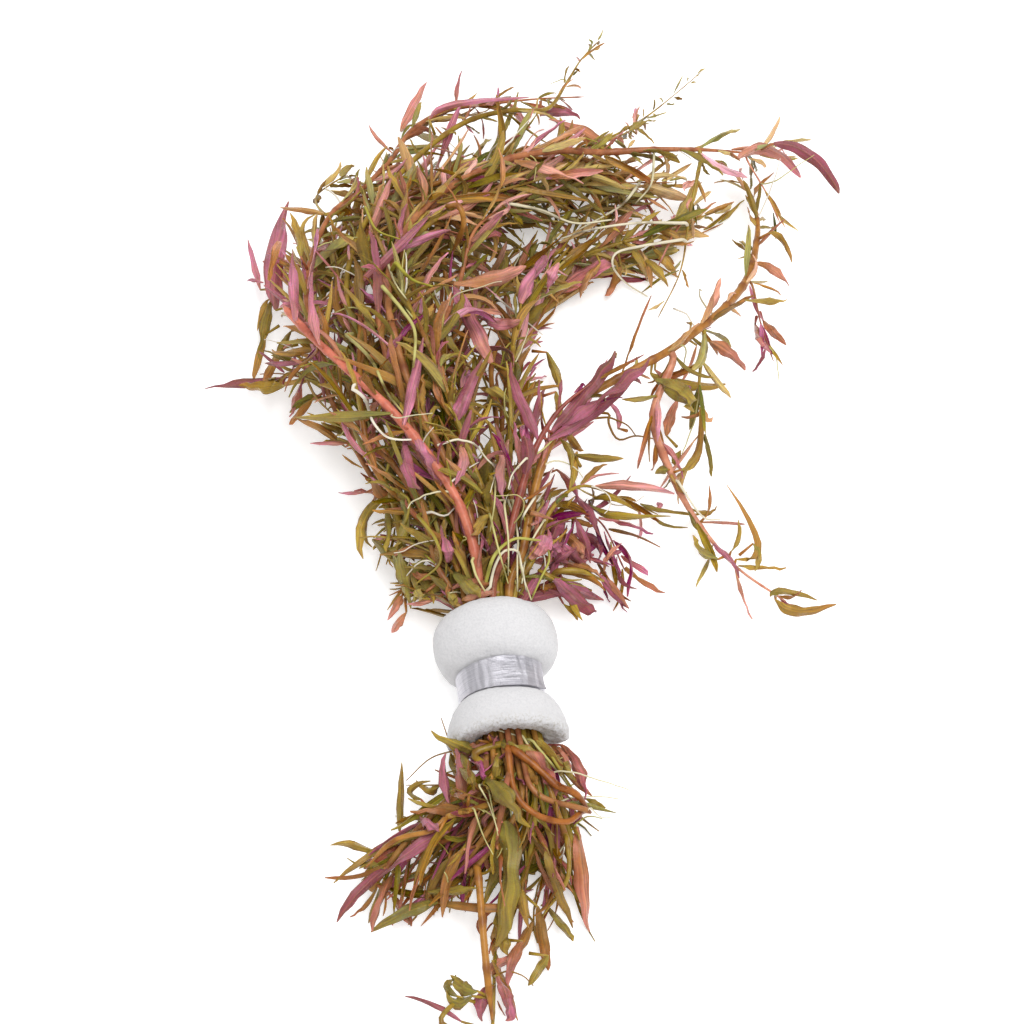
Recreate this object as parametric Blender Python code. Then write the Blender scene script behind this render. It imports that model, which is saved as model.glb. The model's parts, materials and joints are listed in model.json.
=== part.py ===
"""A cut bunch of rotala, an aquarium stem plant, lying on a table.

Leafy shoots run through a white foam sleeve, and a metal strip is wound round the sleeve's waist.
The shoots' tops sweep to the left and then hook round to the right, and their cut ends fan out on
the near side of the sleeve. Every shoot is one piece with its leaves. Lengths are in millimetres
and become metres when an object is finished.
"""

import math
import random

import bmesh
import bpy
import numpy as np
from mathutils import Vector
from mathutils.bvhtree import BVHTree

MM = 0.001

# Sleeve and strip
SLEEVE_HEIGHT = 12.1  # its axis above the table, a little less than the lobes' radius
SLEEVE_TURN = math.radians(10.0)  # its far end points a little to the left
FAR_END = 16.0  # how far the sleeve reaches from the strip's middle
NEAR_END = 12.5
SLEEVE_SIDES = 18
FAR_LOBE_RADIUS = 13.0
NEAR_LOBE_RADIUS = 12.5
WAIST_RADIUS = 8.1
BORE_RADIUS = 7.1
STRIP_HALF_WIDTH = 3.2
STRIP_THICKNESS = 0.35
STRIP_TURNS = 1.3
STRIP_STEPS = 30
STRIP_START = math.radians(-8.0)  # from the top, so that the outer end comes to the right
SKIN_GAP = 0.3  # between solids that touch

# Shoots
STEM_RADIUS = 0.95
NODE_SWELL = 1.18
NODE_HALF = 0.45
INTERNODE = 11.8
TIP_TAPER = 0.35
SLOT_SPACING = 2.2
SLOT_REACH = 5.85
FAR_EXIT = FAR_END + 1.5  # where the stems come free
NEAR_EXIT = NEAR_END + 1.5
WANDER = 0.14  # how far a shoot of the pile strays, as a share of the pile's half width

# Leaves
LEAF_LENGTH = 17.0
NEAR_LEAF_LENGTH = 14.0  # on the near side of the sleeve
LEAF_WIDTH = 3.7
LEAF_THICKNESS = 0.5
WIDEST = 0.42  # where a leaf is widest, as a share of its length
LEAN = (26, 50)  # degrees between a leaf and its stem
TIP_LEAN = 12  # how much closer the leaves of a tip stand
TIP_SHRINK = 0.35  # how much shorter they are
DROOP = (0.05, 0.45)
OTHER_LEANS = (0, 14, -12, 28)
OTHER_TURNS = (0, 22, -22, 40, -40)
OTHER_LENGTHS = (1.0, 0.8, 0.6, 0.45)

# How the stems push each other apart
BORE_DISTANCE = 2.18
CLEAR_DISTANCE = 2.7
OPENING_LENGTH = 20.0
ROUNDS = 300
PUSH = 1.3
BIGGEST_STEP = 1.2
SMOOTHING = 0.15

# Colours, as linear red, green and blue
OLIVE = (0.25, 0.19, 0.03)
BROWN = (0.26, 0.11, 0.03)
PINK = (0.50, 0.21, 0.26)
PURPLE = (0.27, 0.05, 0.12)
SALMON = (0.72, 0.18, 0.12)
WHITE = (0.80, 0.79, 0.77)
SILVER = (0.48, 0.48, 0.54)

# How large some shoots' leaves are beside the others'
LEAF_SIZES = {
    "far_shoot": 0.65,
    "back_shoot": 0.8,
    "top_side_shoot": 0.6,
    "end_side_shoot": 0.75,
    "bent_side_shoot": 0.75,
    "drooping_side_shoot": 0.8,
}

# Each station of the pile: its left edge, its right edge, and its lowest and highest stem
PILE = (
    ((-16, 33), (8, 33), 3, 22),
    ((-30, 53), (8, 50), 1, 31),
    ((-43, 76), (5, 76), 1, 35),
    ((-45, 99), (5, 94), 1, 33),
    ((-35, 120), (15, 109), 1, 28),
    ((-16, 136), (31, 116), 1, 23),
    ((7, 142), (44, 124), 1, 18),
    ((28, 137), (53, 129), 1, 12),
)

# The same for the near side, where the cut ends fan out
FAN = (
    ((-6, -20), (10, -19), 4, 20),
    ((-17, -28), (10.5, -28), 1, 14),
    ((-22, -37), (8.5, -38), 1, 8),
    ((-14, -49), (5, -50), 1, 5),
)

# Shoots that stand out by themselves: the place in the bore, the route beyond it to the tip, the
# route on the near side to the cut end, and the colour
LONE_SHOOTS = {
    "salmon_shoot": (
        (-1.1, 5.7),
        ((-7, 33, 22), (-12, 41, 27), (-19.5, 51, 31), (-28, 59.5, 33.5), (-37, 68.5, 34),
         (-46, 80, 32), (-52, 90, 30), (-56, 101, 28)),
        ((1, -24, 19), (-1, -33, 14)),
        SALMON),
    "right_long_shoot": (
        (4.4, 3.8),
        ((5, 32, 20), (8.5, 48, 24), (17, 62, 26), (31.5, 70, 28), (43, 81, 25), (54.5, 98, 18),
         (59.5, 118, 12), (59, 133, 8), (53, 144, 6)),
        ((9, -24, 14), (13, -33, 9)),
        BROWN),
    "purple_shoot": (
        (1.1, 5.7),
        ((2, 32, 24), (6, 46, 28), (12, 56, 31), (21, 63, 33), (30, 68, 34)),
        ((3.5, -21, 18), (9, -26, 14.5), (15.5, -25.5, 11)),
        PURPLE),
    "far_right_shoot": (
        (0, 3.8),
        ((-7, 37, 24), (-20, 62, 33), (-25, 89, 34), (-15, 113, 30), (5, 128, 27), (22.5, 133, 22),
         (41.5, 136, 20), (56, 137.5, 17), (63, 141, 14), (66.5, 142.5, 11)),
        ((2, -24, 15), (-6, -38, 8)),
        PINK),
    "far_shoot": (
        (-2.2, 1.9),
        ((-12, 42, 21), (-28, 68, 27), (-34, 96, 27), (-23, 125, 25), (-5, 145, 22),
         (10, 152.5, 15), (18, 171.5, 10), (24, 184, 5.5)),
        ((0, -24, 13.5), (-2, -38, 9)),
        OLIVE),
    "back_shoot": (
        (0, -3.8),
        ((-8, 37, 12), (-20, 64, 14), (-25, 93, 15), (-12, 120, 14), (8, 138, 12), (24, 149, 8),
         (36, 160, 5), (50, 176, 3)),
        ((2.5, -24, 8), (0, -36, 5), (-2, -50, 3.5), (-2, -62, 3), (-2, -74, 2.6)),
        OLIVE),
    "arch_shoot": (
        (-4.4, 1.9),
        ((-15, 38, 19), (-33, 60, 26), (-43, 85, 28), (-40, 110, 26), (-29, 127, 22),
         (-18, 149, 17), (4, 158, 13), (20, 163, 9)),
        ((-5, -21, 16), (-12, -26, 14), (-19, -33, 11), (-26, -41, 7)),
        PINK),
    "low_right_shoot": (
        (5.5, 1.9),
        ((8, 32, 18), (12, 42, 20), (19, 46, 16), (27, 46, 10), (34, 45.5, 5)),
        ((10, -21, 12), (13, -32, 6)),
        OLIVE),
    "red_arch_shoot": (
        (5.5, 0),
        ((9, 29, 15), (15, 40, 16), (20.5, 43, 12), (24.5, 38.5, 8), (26.5, 31.5, 4.5)),
        ((10, -24, 9.5), (10, -38, 5)),
        PURPLE),
    "red_low_shoot": (
        (5.5, -1.9),
        ((11, 28, 9), (17.5, 33.5, 8), (22, 32, 5), (25, 27, 2.8)),
        ((9, -22, 6), (11, -39, 2.4)),
        PURPLE),
    "left_drooping_shoot": (
        (-5.5, 0),
        ((-10, 29, 15), (-18, 39, 15), (-25, 39, 9), (-27.5, 32, 4)),
        ((-6, -21, 13), (-15, -28, 10), (-22, -37, 6)),
        OLIVE),
    "left_low_shoot": (
        (-5.5, -1.9),
        ((-12, 28, 8), (-19, 30.5, 5.5), (-24.5, 26.5, 3)),
        ((-6, -25, 7), (-14, -42, 2.6)),
        BROWN),
}

# Side shoots: the shoot that each grows from, the node it grows at, its route, and its colour
SIDE_SHOOTS = {
    "drooping_side_shoot": (
        "right_long_shoot", (31.5, 70, 28),
        ((32.5, 61.5, 22), (35, 54, 16), (40.5, 45, 8), (51, 32.5, 4), (61, 25.5, 2.2)),
        BROWN),
    "bent_side_shoot": (
        "right_long_shoot", (54.5, 98, 18), ((58.5, 91, 13), (61.5, 84, 8)), PURPLE),
    "inner_side_shoot": (
        "right_long_shoot", (43, 81, 25), ((43, 73, 19), (44, 62, 13), (40, 54.5, 6)), OLIVE),
    "end_side_shoot": (
        "far_right_shoot", (56, 137.5, 17), ((61, 131, 14), (65.5, 123, 9)), OLIVE),
    "hook_side_shoot": (
        "far_right_shoot", (41.5, 136, 20), ((44, 124, 13), (42, 112, 7), (36, 99, 4)), OLIVE),
    "top_side_shoot": (
        "far_right_shoot", (22.5, 133, 22), ((27, 139, 21), (31, 146, 16), (33, 152, 12)), OLIVE),
    "left_side_shoot": (
        "salmon_shoot", (-37, 68.5, 34), ((-44.5, 71.5, 24), (-52, 75, 13)), PURPLE),
    "upper_side_shoot": (
        "arch_shoot", (-40, 110, 26), ((-44, 116, 22), (-43, 125, 18), (-37, 133, 15)), OLIVE),
}

# The sleeve's own directions: along its axis to the far end, to its right, and up
AXIS = np.array((-math.sin(SLEEVE_TURN), math.cos(SLEEVE_TURN), 0.0))
SIDE = np.array((math.cos(SLEEVE_TURN), math.sin(SLEEVE_TURN), 0.0))
UP = np.array((0.0, 0.0, 1.0))
SLEEVE_CENTRE = UP * SLEEVE_HEIGHT


def unit(vector):
    return vector / np.linalg.norm(vector)


def dot(a, b):
    return np.sum(a * b, axis=-1)


def clamp(value, low, high):
    return max(low, min(high, value))


def in_sleeve(across, above, along):
    """The point at this place in the sleeve's own directions."""
    return SLEEVE_CENTRE + SIDE * across + UP * above + AXIS * along


# Routes


def bore_slots():
    """Close-packed places in the bore, one for each shoot."""
    places = []
    for row in range(-3, 4):
        for column in range(-3, 4):
            across = SLOT_SPACING * (column + 0.5 * (row % 2))
            above = SLOT_SPACING * math.sqrt(3) / 2 * row
            if math.hypot(across, above) <= SLOT_REACH:
                places.append((across, above))
    return places


def smooth_line(points, per_span=12):
    """A Catmull-Rom curve through the points."""
    points = [np.array(p, float) for p in points]
    ends = [2 * points[0] - points[1], *points, 2 * points[-1] - points[-2]]
    line = []
    for before, start, end, after in zip(ends, ends[1:], ends[2:], ends[3:]):
        for step in range(per_span):
            t = step / per_span
            line.append(0.5 * (2 * start + (end - before) * t
                               + (2 * before - 5 * start + 4 * end - after) * t ** 2
                               + (3 * start - before - 3 * end + after) * t ** 3))
    return np.array([*line, points[-1]])


def even_nodes(line, spacing):
    """Nodes an equal distance apart along a line, with its two ends among them."""
    steps = np.linalg.norm(np.diff(line, axis=0), axis=1)
    reached = np.concatenate(([0.0], np.cumsum(steps)))
    wanted = np.linspace(0.0, reached[-1], max(2, round(reached[-1] / spacing)) + 1)
    return np.column_stack([np.interp(wanted, reached, line[:, i]) for i in range(3)])


def station_route(stations, slot, share, draw):
    """A route through the stations that leaves the bore in order and strays more and more."""
    across, above = slot[0] / SLOT_REACH, 0.5 + 0.5 * slot[1] / SLOT_REACH
    drift, climb = draw.uniform(-0.6, 0.6), draw.uniform(-0.4, 0.4)
    route = []
    for number, (left, right, low, high) in enumerate(stations):
        far = min(1.0, number / 3)
        u = across * (1 + 0.3 * far) + (drift + draw.gauss(0, WANDER)) * far
        v = above + (climb + draw.gauss(0, WANDER)) * far
        u, v = clamp(u, -1, 1), clamp(v, 0, 1)
        x, y = np.array(left) + (np.array(right) - left) * (u + 1) / 2
        top = high * (1 - 0.3 * u * u)
        route.append((x, y, low + (top - low) * v))
    line = smooth_line(route)
    return list(even_nodes(line[: max(2, round(len(line) * share))], 22.0))


class Shoot:
    """One shoot: its nodes from the cut end to the tip, and how easily each is moved."""

    def __init__(self, name, colour, nodes, first_top, pinned, mobility, seed):
        self.name = name
        self.colour = colour
        self.nodes = nodes
        self.first_top = first_top
        self.mobility = np.full(len(nodes), mobility)
        self.mobility[pinned] = 0.0
        self.draw = random.Random(seed)
        self.spin = self.draw.uniform(0, math.pi / 2)
        self.vigour = self.draw.uniform(0.85, 1.12)


def through_shoot(name, colour, slot, top, bottom, mobility, seed):
    """A shoot that passes the sleeve straight and is free on both sides of it."""
    below = smooth_line([*reversed(bottom), in_sleeve(*slot, -NEAR_EXIT)])
    above = smooth_line([in_sleeve(*slot, FAR_EXIT), *top])
    low_nodes, high_nodes = even_nodes(below, INTERNODE), even_nodes(above, INTERNODE)
    nodes = np.concatenate((low_nodes, high_nodes))
    first_top = len(low_nodes)
    return Shoot(name, colour, nodes, first_top, [first_top - 1, first_top], mobility, seed)


def side_shoot(name, colour, parent, fork, route, seed):
    """A shoot that starts just clear of a node of another shoot."""
    number = np.argmin(np.linalg.norm(parent.nodes - fork, axis=1))
    at = parent.nodes[number]
    along = unit(parent.nodes[min(number + 1, len(parent.nodes) - 1)] - parent.nodes[number - 1])
    towards = np.array(route[0]) - at
    beside = unit(towards - (towards @ along) * along)
    start = at + beside * (STEM_RADIUS * (1 + NODE_SWELL) + 2 * SKIN_GAP)
    nodes = even_nodes(smooth_line([start, *route]), INTERNODE)
    return Shoot(name, colour, nodes, 0, [0], 0.3, seed)


def lay_out():
    """Every through-going shoot on its wanted route."""
    free = bore_slots()
    draw = random.Random(11)
    shoots = []
    for number, (name, (place, top, bottom, colour)) in enumerate(LONE_SHOOTS.items()):
        slot = min(free, key=lambda other: math.dist(place, other))
        free.remove(slot)
        shoots.append(through_shoot(name, colour, slot, top, bottom, 0.25, number))
    for number, slot in enumerate(free):
        top = station_route(PILE, slot, 1 - 0.4 * draw.random() ** 1.5, draw)
        bottom = station_route(FAN, slot, draw.uniform(0.3, 0.85), draw)
        name, colour = f"pile_shoot_{number + 1:02d}", (OLIVE, BROWN, PINK)[number % 3]
        shoots.append(through_shoot(name, colour, slot, top, bottom, 1.0, 40 + number))
    return shoots


# Keeping the stems apart


def clear_distance(points):
    """How far apart stems are kept: close where they leave the bore, and wider beyond."""
    place = (points - SLEEVE_CENTRE) @ AXIS
    beyond = np.maximum(place - FAR_EXIT, -NEAR_EXIT - place)
    share = np.clip(beyond / OPENING_LENGTH, 0, 1)
    return BORE_DISTANCE + (CLEAR_DISTANCE - BORE_DISTANCE) * share


def closest_shares(start_a, span_a, start_b, span_b):
    """How far along each two straight pieces they come closest, for many pairs at once."""
    between = start_a - start_b
    aa, bb, ab = dot(span_a, span_a), dot(span_b, span_b), dot(span_a, span_b)
    a, b = dot(span_a, between), dot(span_b, between)
    on_a = np.clip((ab * b - a * bb) / np.maximum(aa * bb - ab * ab, 1e-9), 0, 1)
    on_b = np.clip((ab * on_a + b) / bb, 0, 1)
    return np.clip((ab * on_b - a) / aa, 0, 1), on_b


def near_pairs(start, span, owner):
    """The pairs of straight pieces, of different shoots, that are close enough to matter."""
    middle, length = start + span / 2, np.linalg.norm(span, axis=1)
    apart = np.linalg.norm(middle[:, None] - middle[None], axis=2)
    near = apart < (length[:, None] + length[None]) / 2 + 2 * CLEAR_DISTANCE
    return np.nonzero(np.triu(near & (owner[:, None] != owner[None])))


def pushes(nodes, first, mobility, pairs):
    """How far each node is pushed away by the stems that are too close to its own."""
    i, j = pairs
    start, span = nodes[first], nodes[first + 1] - nodes[first]
    on_i, on_j = closest_shares(start[i], span[i], start[j], span[j])
    at_i, at_j = start[i] + on_i[:, None] * span[i], start[j] + on_j[:, None] * span[j]
    distance = np.linalg.norm(at_i - at_j, axis=1)
    away = (at_i - at_j) / np.maximum(distance, 1e-3)[:, None]
    lacking = (clear_distance(at_i) + clear_distance(at_j)) / 2 - distance
    ends = ((first[i], 1 - on_i, 1), (first[i] + 1, on_i, 1),
            (first[j], 1 - on_j, -1), (first[j] + 1, on_j, -1))
    ease = sum(mobility[node] * share ** 2 for node, share, _ in ends)
    close = (lacking > 0) & (ease > 1e-4)
    push, count = np.zeros_like(nodes), np.zeros(len(nodes))
    for node, share, sign in ends:
        amount = (lacking * mobility[node] * share / np.maximum(ease, 1e-4))[close]
        step = sign * np.minimum(amount, BIGGEST_STEP)
        np.add.at(push, node[close], away[close] * step[:, None])
        np.add.at(count, node[close], share[close])
    return push / np.maximum(count, 1)[:, None]


def push_apart(shoots, fixed=()):
    """Moves the shoots' nodes until no two stems come closer than clear_distance."""
    everyone = [*shoots, *fixed]
    counts = [len(s.nodes) for s in everyone]
    starts = np.cumsum([0, *counts])
    nodes = np.concatenate([s.nodes for s in everyone])
    planned = nodes.copy()
    mobility = np.concatenate([s.mobility * (s in shoots) for s in everyone])
    first = np.setdiff1d(np.arange(len(nodes)), starts[1:] - 1)
    owner = np.repeat(np.arange(len(everyone)), counts)[first]
    for turn in range(ROUNDS):
        if turn % 8 == 0:
            pairs = near_pairs(nodes[first], nodes[first + 1] - nodes[first], owner)
        moved = nodes - planned + PUSH * pushes(nodes, first, mobility, pairs)
        smooth = moved.copy()
        for a, b in zip(starts, starts[1:]):
            middle = (moved[a : b - 2] + moved[a + 2 : b]) / 2
            ease = SMOOTHING * (1 - turn / ROUNDS)
            smooth[a + 1 : b - 1] += ease * (middle - moved[a + 1 : b - 1])
        smooth[mobility == 0] = 0
        nodes = planned + smooth
        nodes[:, 2] = np.maximum(nodes[:, 2], STEM_RADIUS * NODE_SWELL + 0.05)
    for number, shoot in enumerate(everyone):
        shoot.nodes = nodes[starts[number] : starts[number + 1]]


def all_shoots():
    """Every shoot in its place: first those through the sleeve, then the side shoots on them."""
    shoots = lay_out()
    push_apart(shoots)
    by_name = {shoot.name: shoot for shoot in shoots}
    sides = [side_shoot(name, colour, by_name[parent], fork, route, 80 + number)
             for number, (name, (parent, fork, route, colour)) in enumerate(SIDE_SHOOTS.items())]
    push_apart(sides, shoots)
    return [*shoots, *sides]


# Stems


def frames(shoot):
    """At each node, the direction along the stem and a direction out of it that doesn't twist."""
    spans = np.diff(shoot.nodes, axis=0)
    spans /= np.linalg.norm(spans, axis=1)[:, None]
    along = np.concatenate((spans[:1], spans[:-1] + spans[1:], spans[-1:]))
    along /= np.linalg.norm(along, axis=1)[:, None]
    level = unit(np.cross(along[0], (0.3, 0.2, 0.93)))
    out = math.cos(shoot.spin) * level + math.sin(shoot.spin) * np.cross(along[0], level)
    outs = []
    for direction in along:
        out = unit(out - (out @ direction) * direction)
        outs.append(out)
    return along, np.array(outs)


def leaf_nodes(shoot):
    """The nodes that carry leaves: close together at the tip, every other one below it."""
    last = len(shoot.nodes) - 1
    above = [last - 1, *range(last - 2, shoot.first_top, -2)]
    below = range(shoot.first_top - 3, 0, -1)
    return sorted({*(i for i in above if i > shoot.first_top), *below})


def ring_corners(centre, along, out, radius):
    """The corners of a square section, counter-clockwise as seen from the tip."""
    across = np.cross(along, out)
    angles = [math.radians(90 * corner - 45) for corner in range(4)]
    return [centre + radius * (math.cos(a) * out + math.sin(a) * across) for a in angles]


def stem_rings(shoot):
    """The stem's sections, each with its node: two at a leafy node, which is swollen."""
    along, outs = frames(shoot)
    last = len(shoot.nodes) - 1
    leafy = leaf_nodes(shoot)
    rings = []
    for node, centre in enumerate(shoot.nodes[:-1]):
        radius = STEM_RADIUS * (1 - TIP_TAPER * max(0, 1 - (last - node) / 5))
        if node in leafy:
            for shift in (-NODE_HALF, NODE_HALF):
                place = centre + shift * along[node]
                corners = ring_corners(place, along[node], outs[node], radius * NODE_SWELL)
                rings.append((node, corners))
        else:
            rings.append((node, ring_corners(centre, along[node], outs[node], radius)))
    return rings


def draw_out(work, loop, corners):
    """Extrudes the face with these corners to new places, and gives its new corners in order."""
    face = bmesh.ops.extrude_discrete_faces(work, faces=[work.faces.get(loop)])["faces"][0]
    moved = [min(face.verts, key=lambda vert: (vert.co - old.co).length) for old in loop]
    for vert, corner in zip(moved, corners):
        vert.co = corner
    return moved


def close_to_point(work, loop, point):
    """Turns the face with these corners into a pyramid with its tip at the point."""
    bmesh.ops.poke(work, faces=[work.faces.get(loop)])["verts"][0].co = point


def drawn_body(sections):
    """A body drawn out through four-cornered sections, and the corners of each section."""
    work = bmesh.new()
    cube = bmesh.ops.create_cube(work, size=2)["verts"]
    quarters = ((1, -1), (1, 1), (-1, 1), (-1, -1))
    loops = [[next(v for v in cube if v.co == Vector((x, y, z))) for x, y in quarters]
             for z in (-1, 1)]
    for loop, section in zip(loops, sections):
        for vert, corner in zip(loop, section):
            vert.co = corner
    for section in sections[2:]:
        loops.append(draw_out(work, loops[-1], section))
    return work, loops


def stem_body(shoot):
    """The bare stem, and the corners of each face that a leaf may grow from."""
    rings = stem_rings(shoot)
    work, loops = drawn_body([corners for _, corners in rings])
    close_to_point(work, loops[-1], shoot.nodes[-1])
    sockets = {}
    for (node, _), (next_node, _), low, high in zip(rings, rings[1:], loops, loops[1:]):
        for side in range(4 if node == next_node else 0):
            other = (side + 1) % 4
            sockets[node, side] = [low[side], low[other], high[other], high[side]]
    return work, sockets


# Leaves


def leaf_corners(root, along, out, lean, turn, length, droop):
    """The four corners of a leaf's widest place, and its tip.

    The leaf leans from the stem's direction, along, to the direction out of it, and its upper face
    looks along the stem.
    """
    outward = out * math.cos(turn) + np.cross(along, out) * math.sin(turn)
    first = math.cos(lean) * along + math.sin(lean) * outward
    flat = unit(along - (along @ first) * first)
    middle = root + first * WIDEST * length
    tip = middle + unit(first - droop * UP) * (1 - WIDEST) * length
    width = LEAF_WIDTH * (0.4 + 0.6 * length / LEAF_LENGTH)
    half, deep = np.cross(flat, first) * width / 2, flat * LEAF_THICKNESS / 2
    corners = [middle - half - deep, middle + half - deep, middle + half + deep, middle - half + deep]
    return corners, tip


def leaf_faces(base, corners):
    """The leaf's faces by corner number, with its sides split along their shorter diagonals."""
    points = [*base, *corners]
    faces = [(i + 4, (i + 1) % 4 + 4, 8) for i in range(4)]
    for i in range(4):
        a, b, c, d = i, (i + 1) % 4, (i + 1) % 4 + 4, i + 4
        if math.dist(points[a], points[c]) < math.dist(points[b], points[d]):
            faces += [(a, b, c), (a, c, d)]
        else:
            faces += [(a, b, d), (b, c, d)]
    return faces


def leaf_trees(root, out, base, corners, tip):
    """The leaf and a fatter one, to test what they would touch, or None if it cuts itself."""
    faces = leaf_faces(base, corners)
    leaf = BVHTree.FromPolygons([Vector(p) for p in (*base, *corners, tip)], faces)
    if any(not set(faces[a]) & set(faces[b]) for a, b in leaf.overlap(leaf)):
        return None
    centre = sum(corners) / 4
    fat = [corner + unit(corner - centre) * SKIN_GAP * 1.6 for corner in corners]
    narrow = [root + out * 0.25 + (corner - centre) * 0.35 for corner in fat]
    end = tip + unit(tip - centre) * SKIN_GAP
    return [leaf, BVHTree.FromPolygons([Vector(p) for p in (*narrow, *fat, end)], faces)]


def clear_of_stem(shoot, corners, tip):
    """Whether a leaf's outer part stays clear of its own stem."""
    middle = sum(corners) / 4
    points = np.array([*corners, *(middle + (tip - middle) * t for t in (0.25, 0.5, 0.75, 1))])
    starts, spans = shoot.nodes[:-1, None], np.diff(shoot.nodes, axis=0)[:, None]
    share = np.clip(dot(points - starts, spans) / dot(spans, spans), 0, 1)
    nearest = starts + share[:, :, None] * spans
    return np.linalg.norm(points - nearest, axis=2).min() > STEM_RADIUS * NODE_SWELL + 0.35


def fitting_leaf(shoot, node, side, base, others, cuts_stem):
    """The first leaf at this place, of several near the wanted one, that touches nothing else."""
    along, outs = frames(shoot)
    along, out = along[node], outs[node]
    quarter = math.radians(90 * side)
    out = math.cos(quarter) * out + math.sin(quarter) * np.cross(along, out)
    near_tip = max(0.0, 1 - (len(shoot.nodes) - 1 - node) / 4)
    root = shoot.nodes[node] + out * STEM_RADIUS * NODE_SWELL * 0.7
    length = LEAF_LENGTH if node >= shoot.first_top else NEAR_LEAF_LENGTH
    length *= LEAF_SIZES.get(shoot.name, 1) * shoot.vigour * shoot.draw.uniform(0.85, 1.15)
    length *= 1 - TIP_SHRINK * near_tip
    lean = shoot.draw.uniform(*LEAN) - TIP_LEAN * near_tip
    droop = shoot.draw.uniform(*DROOP)
    for shrink in OTHER_LENGTHS:
        for more in OTHER_LEANS:
            for turn in OTHER_TURNS:
                angle = math.radians(lean + more)
                if node < shoot.first_top:
                    angle = math.pi - angle
                leaf = leaf_corners(root, along, out, angle, math.radians(turn),
                                    length * shrink, droop)
                if min(point[2] for point in (*leaf[0], leaf[1])) < SKIN_GAP:
                    continue
                if not clear_of_stem(shoot, *leaf):
                    continue
                trees = leaf_trees(root, out, base, *leaf)
                if trees is None or cuts_stem(trees[0]):
                    continue
                if not any(tree.overlap(other) for tree in trees for other in others):
                    return leaf, trees
    return None


def grow_leaves(shoot, work, sockets, others):
    """Draws a pair of leaves out of each leafy node, each pair a quarter turn from the last."""
    work.faces.index_update()
    stem = BVHTree.FromBMesh(work)
    places = [(node, side) for node in leaf_nodes(shoot) for side in (node % 2, node % 2 + 2)]
    beside = {place: {face.index for vert in sockets[place] for face in vert.link_faces}
              for place in places}
    own = []
    for place in places:
        loop = sockets[place]
        base = [np.array(vert.co) for vert in loop]

        def cuts_stem(leaf):
            return any(face not in beside[place] for _, face in leaf.overlap(stem))

        found = fitting_leaf(shoot, *place, base, [*own, *others], cuts_stem)
        if found:
            (corners, tip), trees = found
            widest = draw_out(work, loop, corners)
            close_to_point(work, widest, tip)
            sides = {face for vert in widest for face in vert.link_faces if len(face.verts) == 4}
            bmesh.ops.triangulate(work, faces=list(sides), quad_method="SHORT_EDGE")
            own += trees


# Sleeve and strip


def sleeve_profile():
    """The sleeve's half section, as (along the axis, radius), outside from far end to near end."""
    far, near = FAR_LOBE_RADIUS, NEAR_LOBE_RADIUS
    waist = STRIP_HALF_WIDTH + SKIN_GAP
    return (
        (FAR_END, BORE_RADIUS + 0.9),
        (FAR_END - 0.6, 0.82 * far),
        (FAR_END - 2.8, 0.95 * far),
        (FAR_END - 6.0, far),
        (waist + 1.2, 0.88 * far),
        (waist, WAIST_RADIUS + 1.2),
        (waist - 0.3, WAIST_RADIUS),
        (-waist + 0.3, WAIST_RADIUS),
        (-waist, WAIST_RADIUS + 1.2),
        (-waist - 1.2, 0.84 * near),
        (-NEAR_END + 4.6, 0.95 * near),
        (-NEAR_END + 1.6, near),
        (-NEAR_END + 0.2, 0.93 * near),
        (-NEAR_END, BORE_RADIUS + 0.9),
        (-NEAR_END, BORE_RADIUS),
        (FAR_END, BORE_RADIUS),
    )


def sleeve_body():
    """The foam, spun round its axis and then flat where it rests on the table."""
    work = bmesh.new()
    first = math.radians(180 / SLEEVE_SIDES)
    ring = [work.verts.new(in_sleeve(radius * math.sin(first), radius * math.cos(first), along))
            for along, radius in sleeve_profile()]
    edges = [work.edges.new((a, b)) for a, b in zip(ring, [*ring[1:], ring[0]])]
    bmesh.ops.spin(work, geom=[*ring, *edges], cent=SLEEVE_CENTRE, axis=AXIS, dvec=(0, 0, 0),
                   angle=2 * math.pi, steps=SLEEVE_SIDES, use_merge=True)
    bmesh.ops.remove_doubles(work, verts=work.verts[:], dist=0.001)
    everything = work.verts[:] + work.edges[:] + work.faces[:]
    cut = bmesh.ops.bisect_plane(work, geom=everything, dist=0.001, plane_co=(0, 0, 0),
                                 plane_no=(0, 0, -1), clear_outer=True)["geom_cut"]
    rim = [piece for piece in cut if isinstance(piece, bmesh.types.BMEdge)]
    bmesh.ops.edgeloop_fill(work, edges=rim)
    return work


def strip_corners(step):
    """The strip's section at this step of its spiral."""
    turned = STRIP_TURNS * step / STRIP_STEPS
    angle = 2 * math.pi * turned + STRIP_START
    inner = WAIST_RADIUS + SKIN_GAP + (STRIP_THICKNESS + 0.7 * SKIN_GAP) * turned
    outer = inner + STRIP_THICKNESS
    places = ((inner, -1), (outer, -1), (outer, 1), (inner, 1))
    return [in_sleeve(radius * math.sin(angle), radius * math.cos(angle), end * STRIP_HALF_WIDTH)
            for radius, end in places]


def strip_body():
    """The metal strip, drawn out along a spiral of a little more than one turn."""
    return drawn_body([strip_corners(step) for step in range(STRIP_STEPS + 1)])[0]


# Objects


def principled(name, colour, roughness, metallic):
    """A material with the piece's own colour."""
    material = bpy.data.materials.new(name)
    material.use_nodes = True
    shader = material.node_tree.nodes["Principled BSDF"]
    shader.inputs["Base Color"].default_value = (*colour, 1.0)
    shader.inputs["Roughness"].default_value = roughness
    shader.inputs["Metallic"].default_value = metallic
    return material


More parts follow.
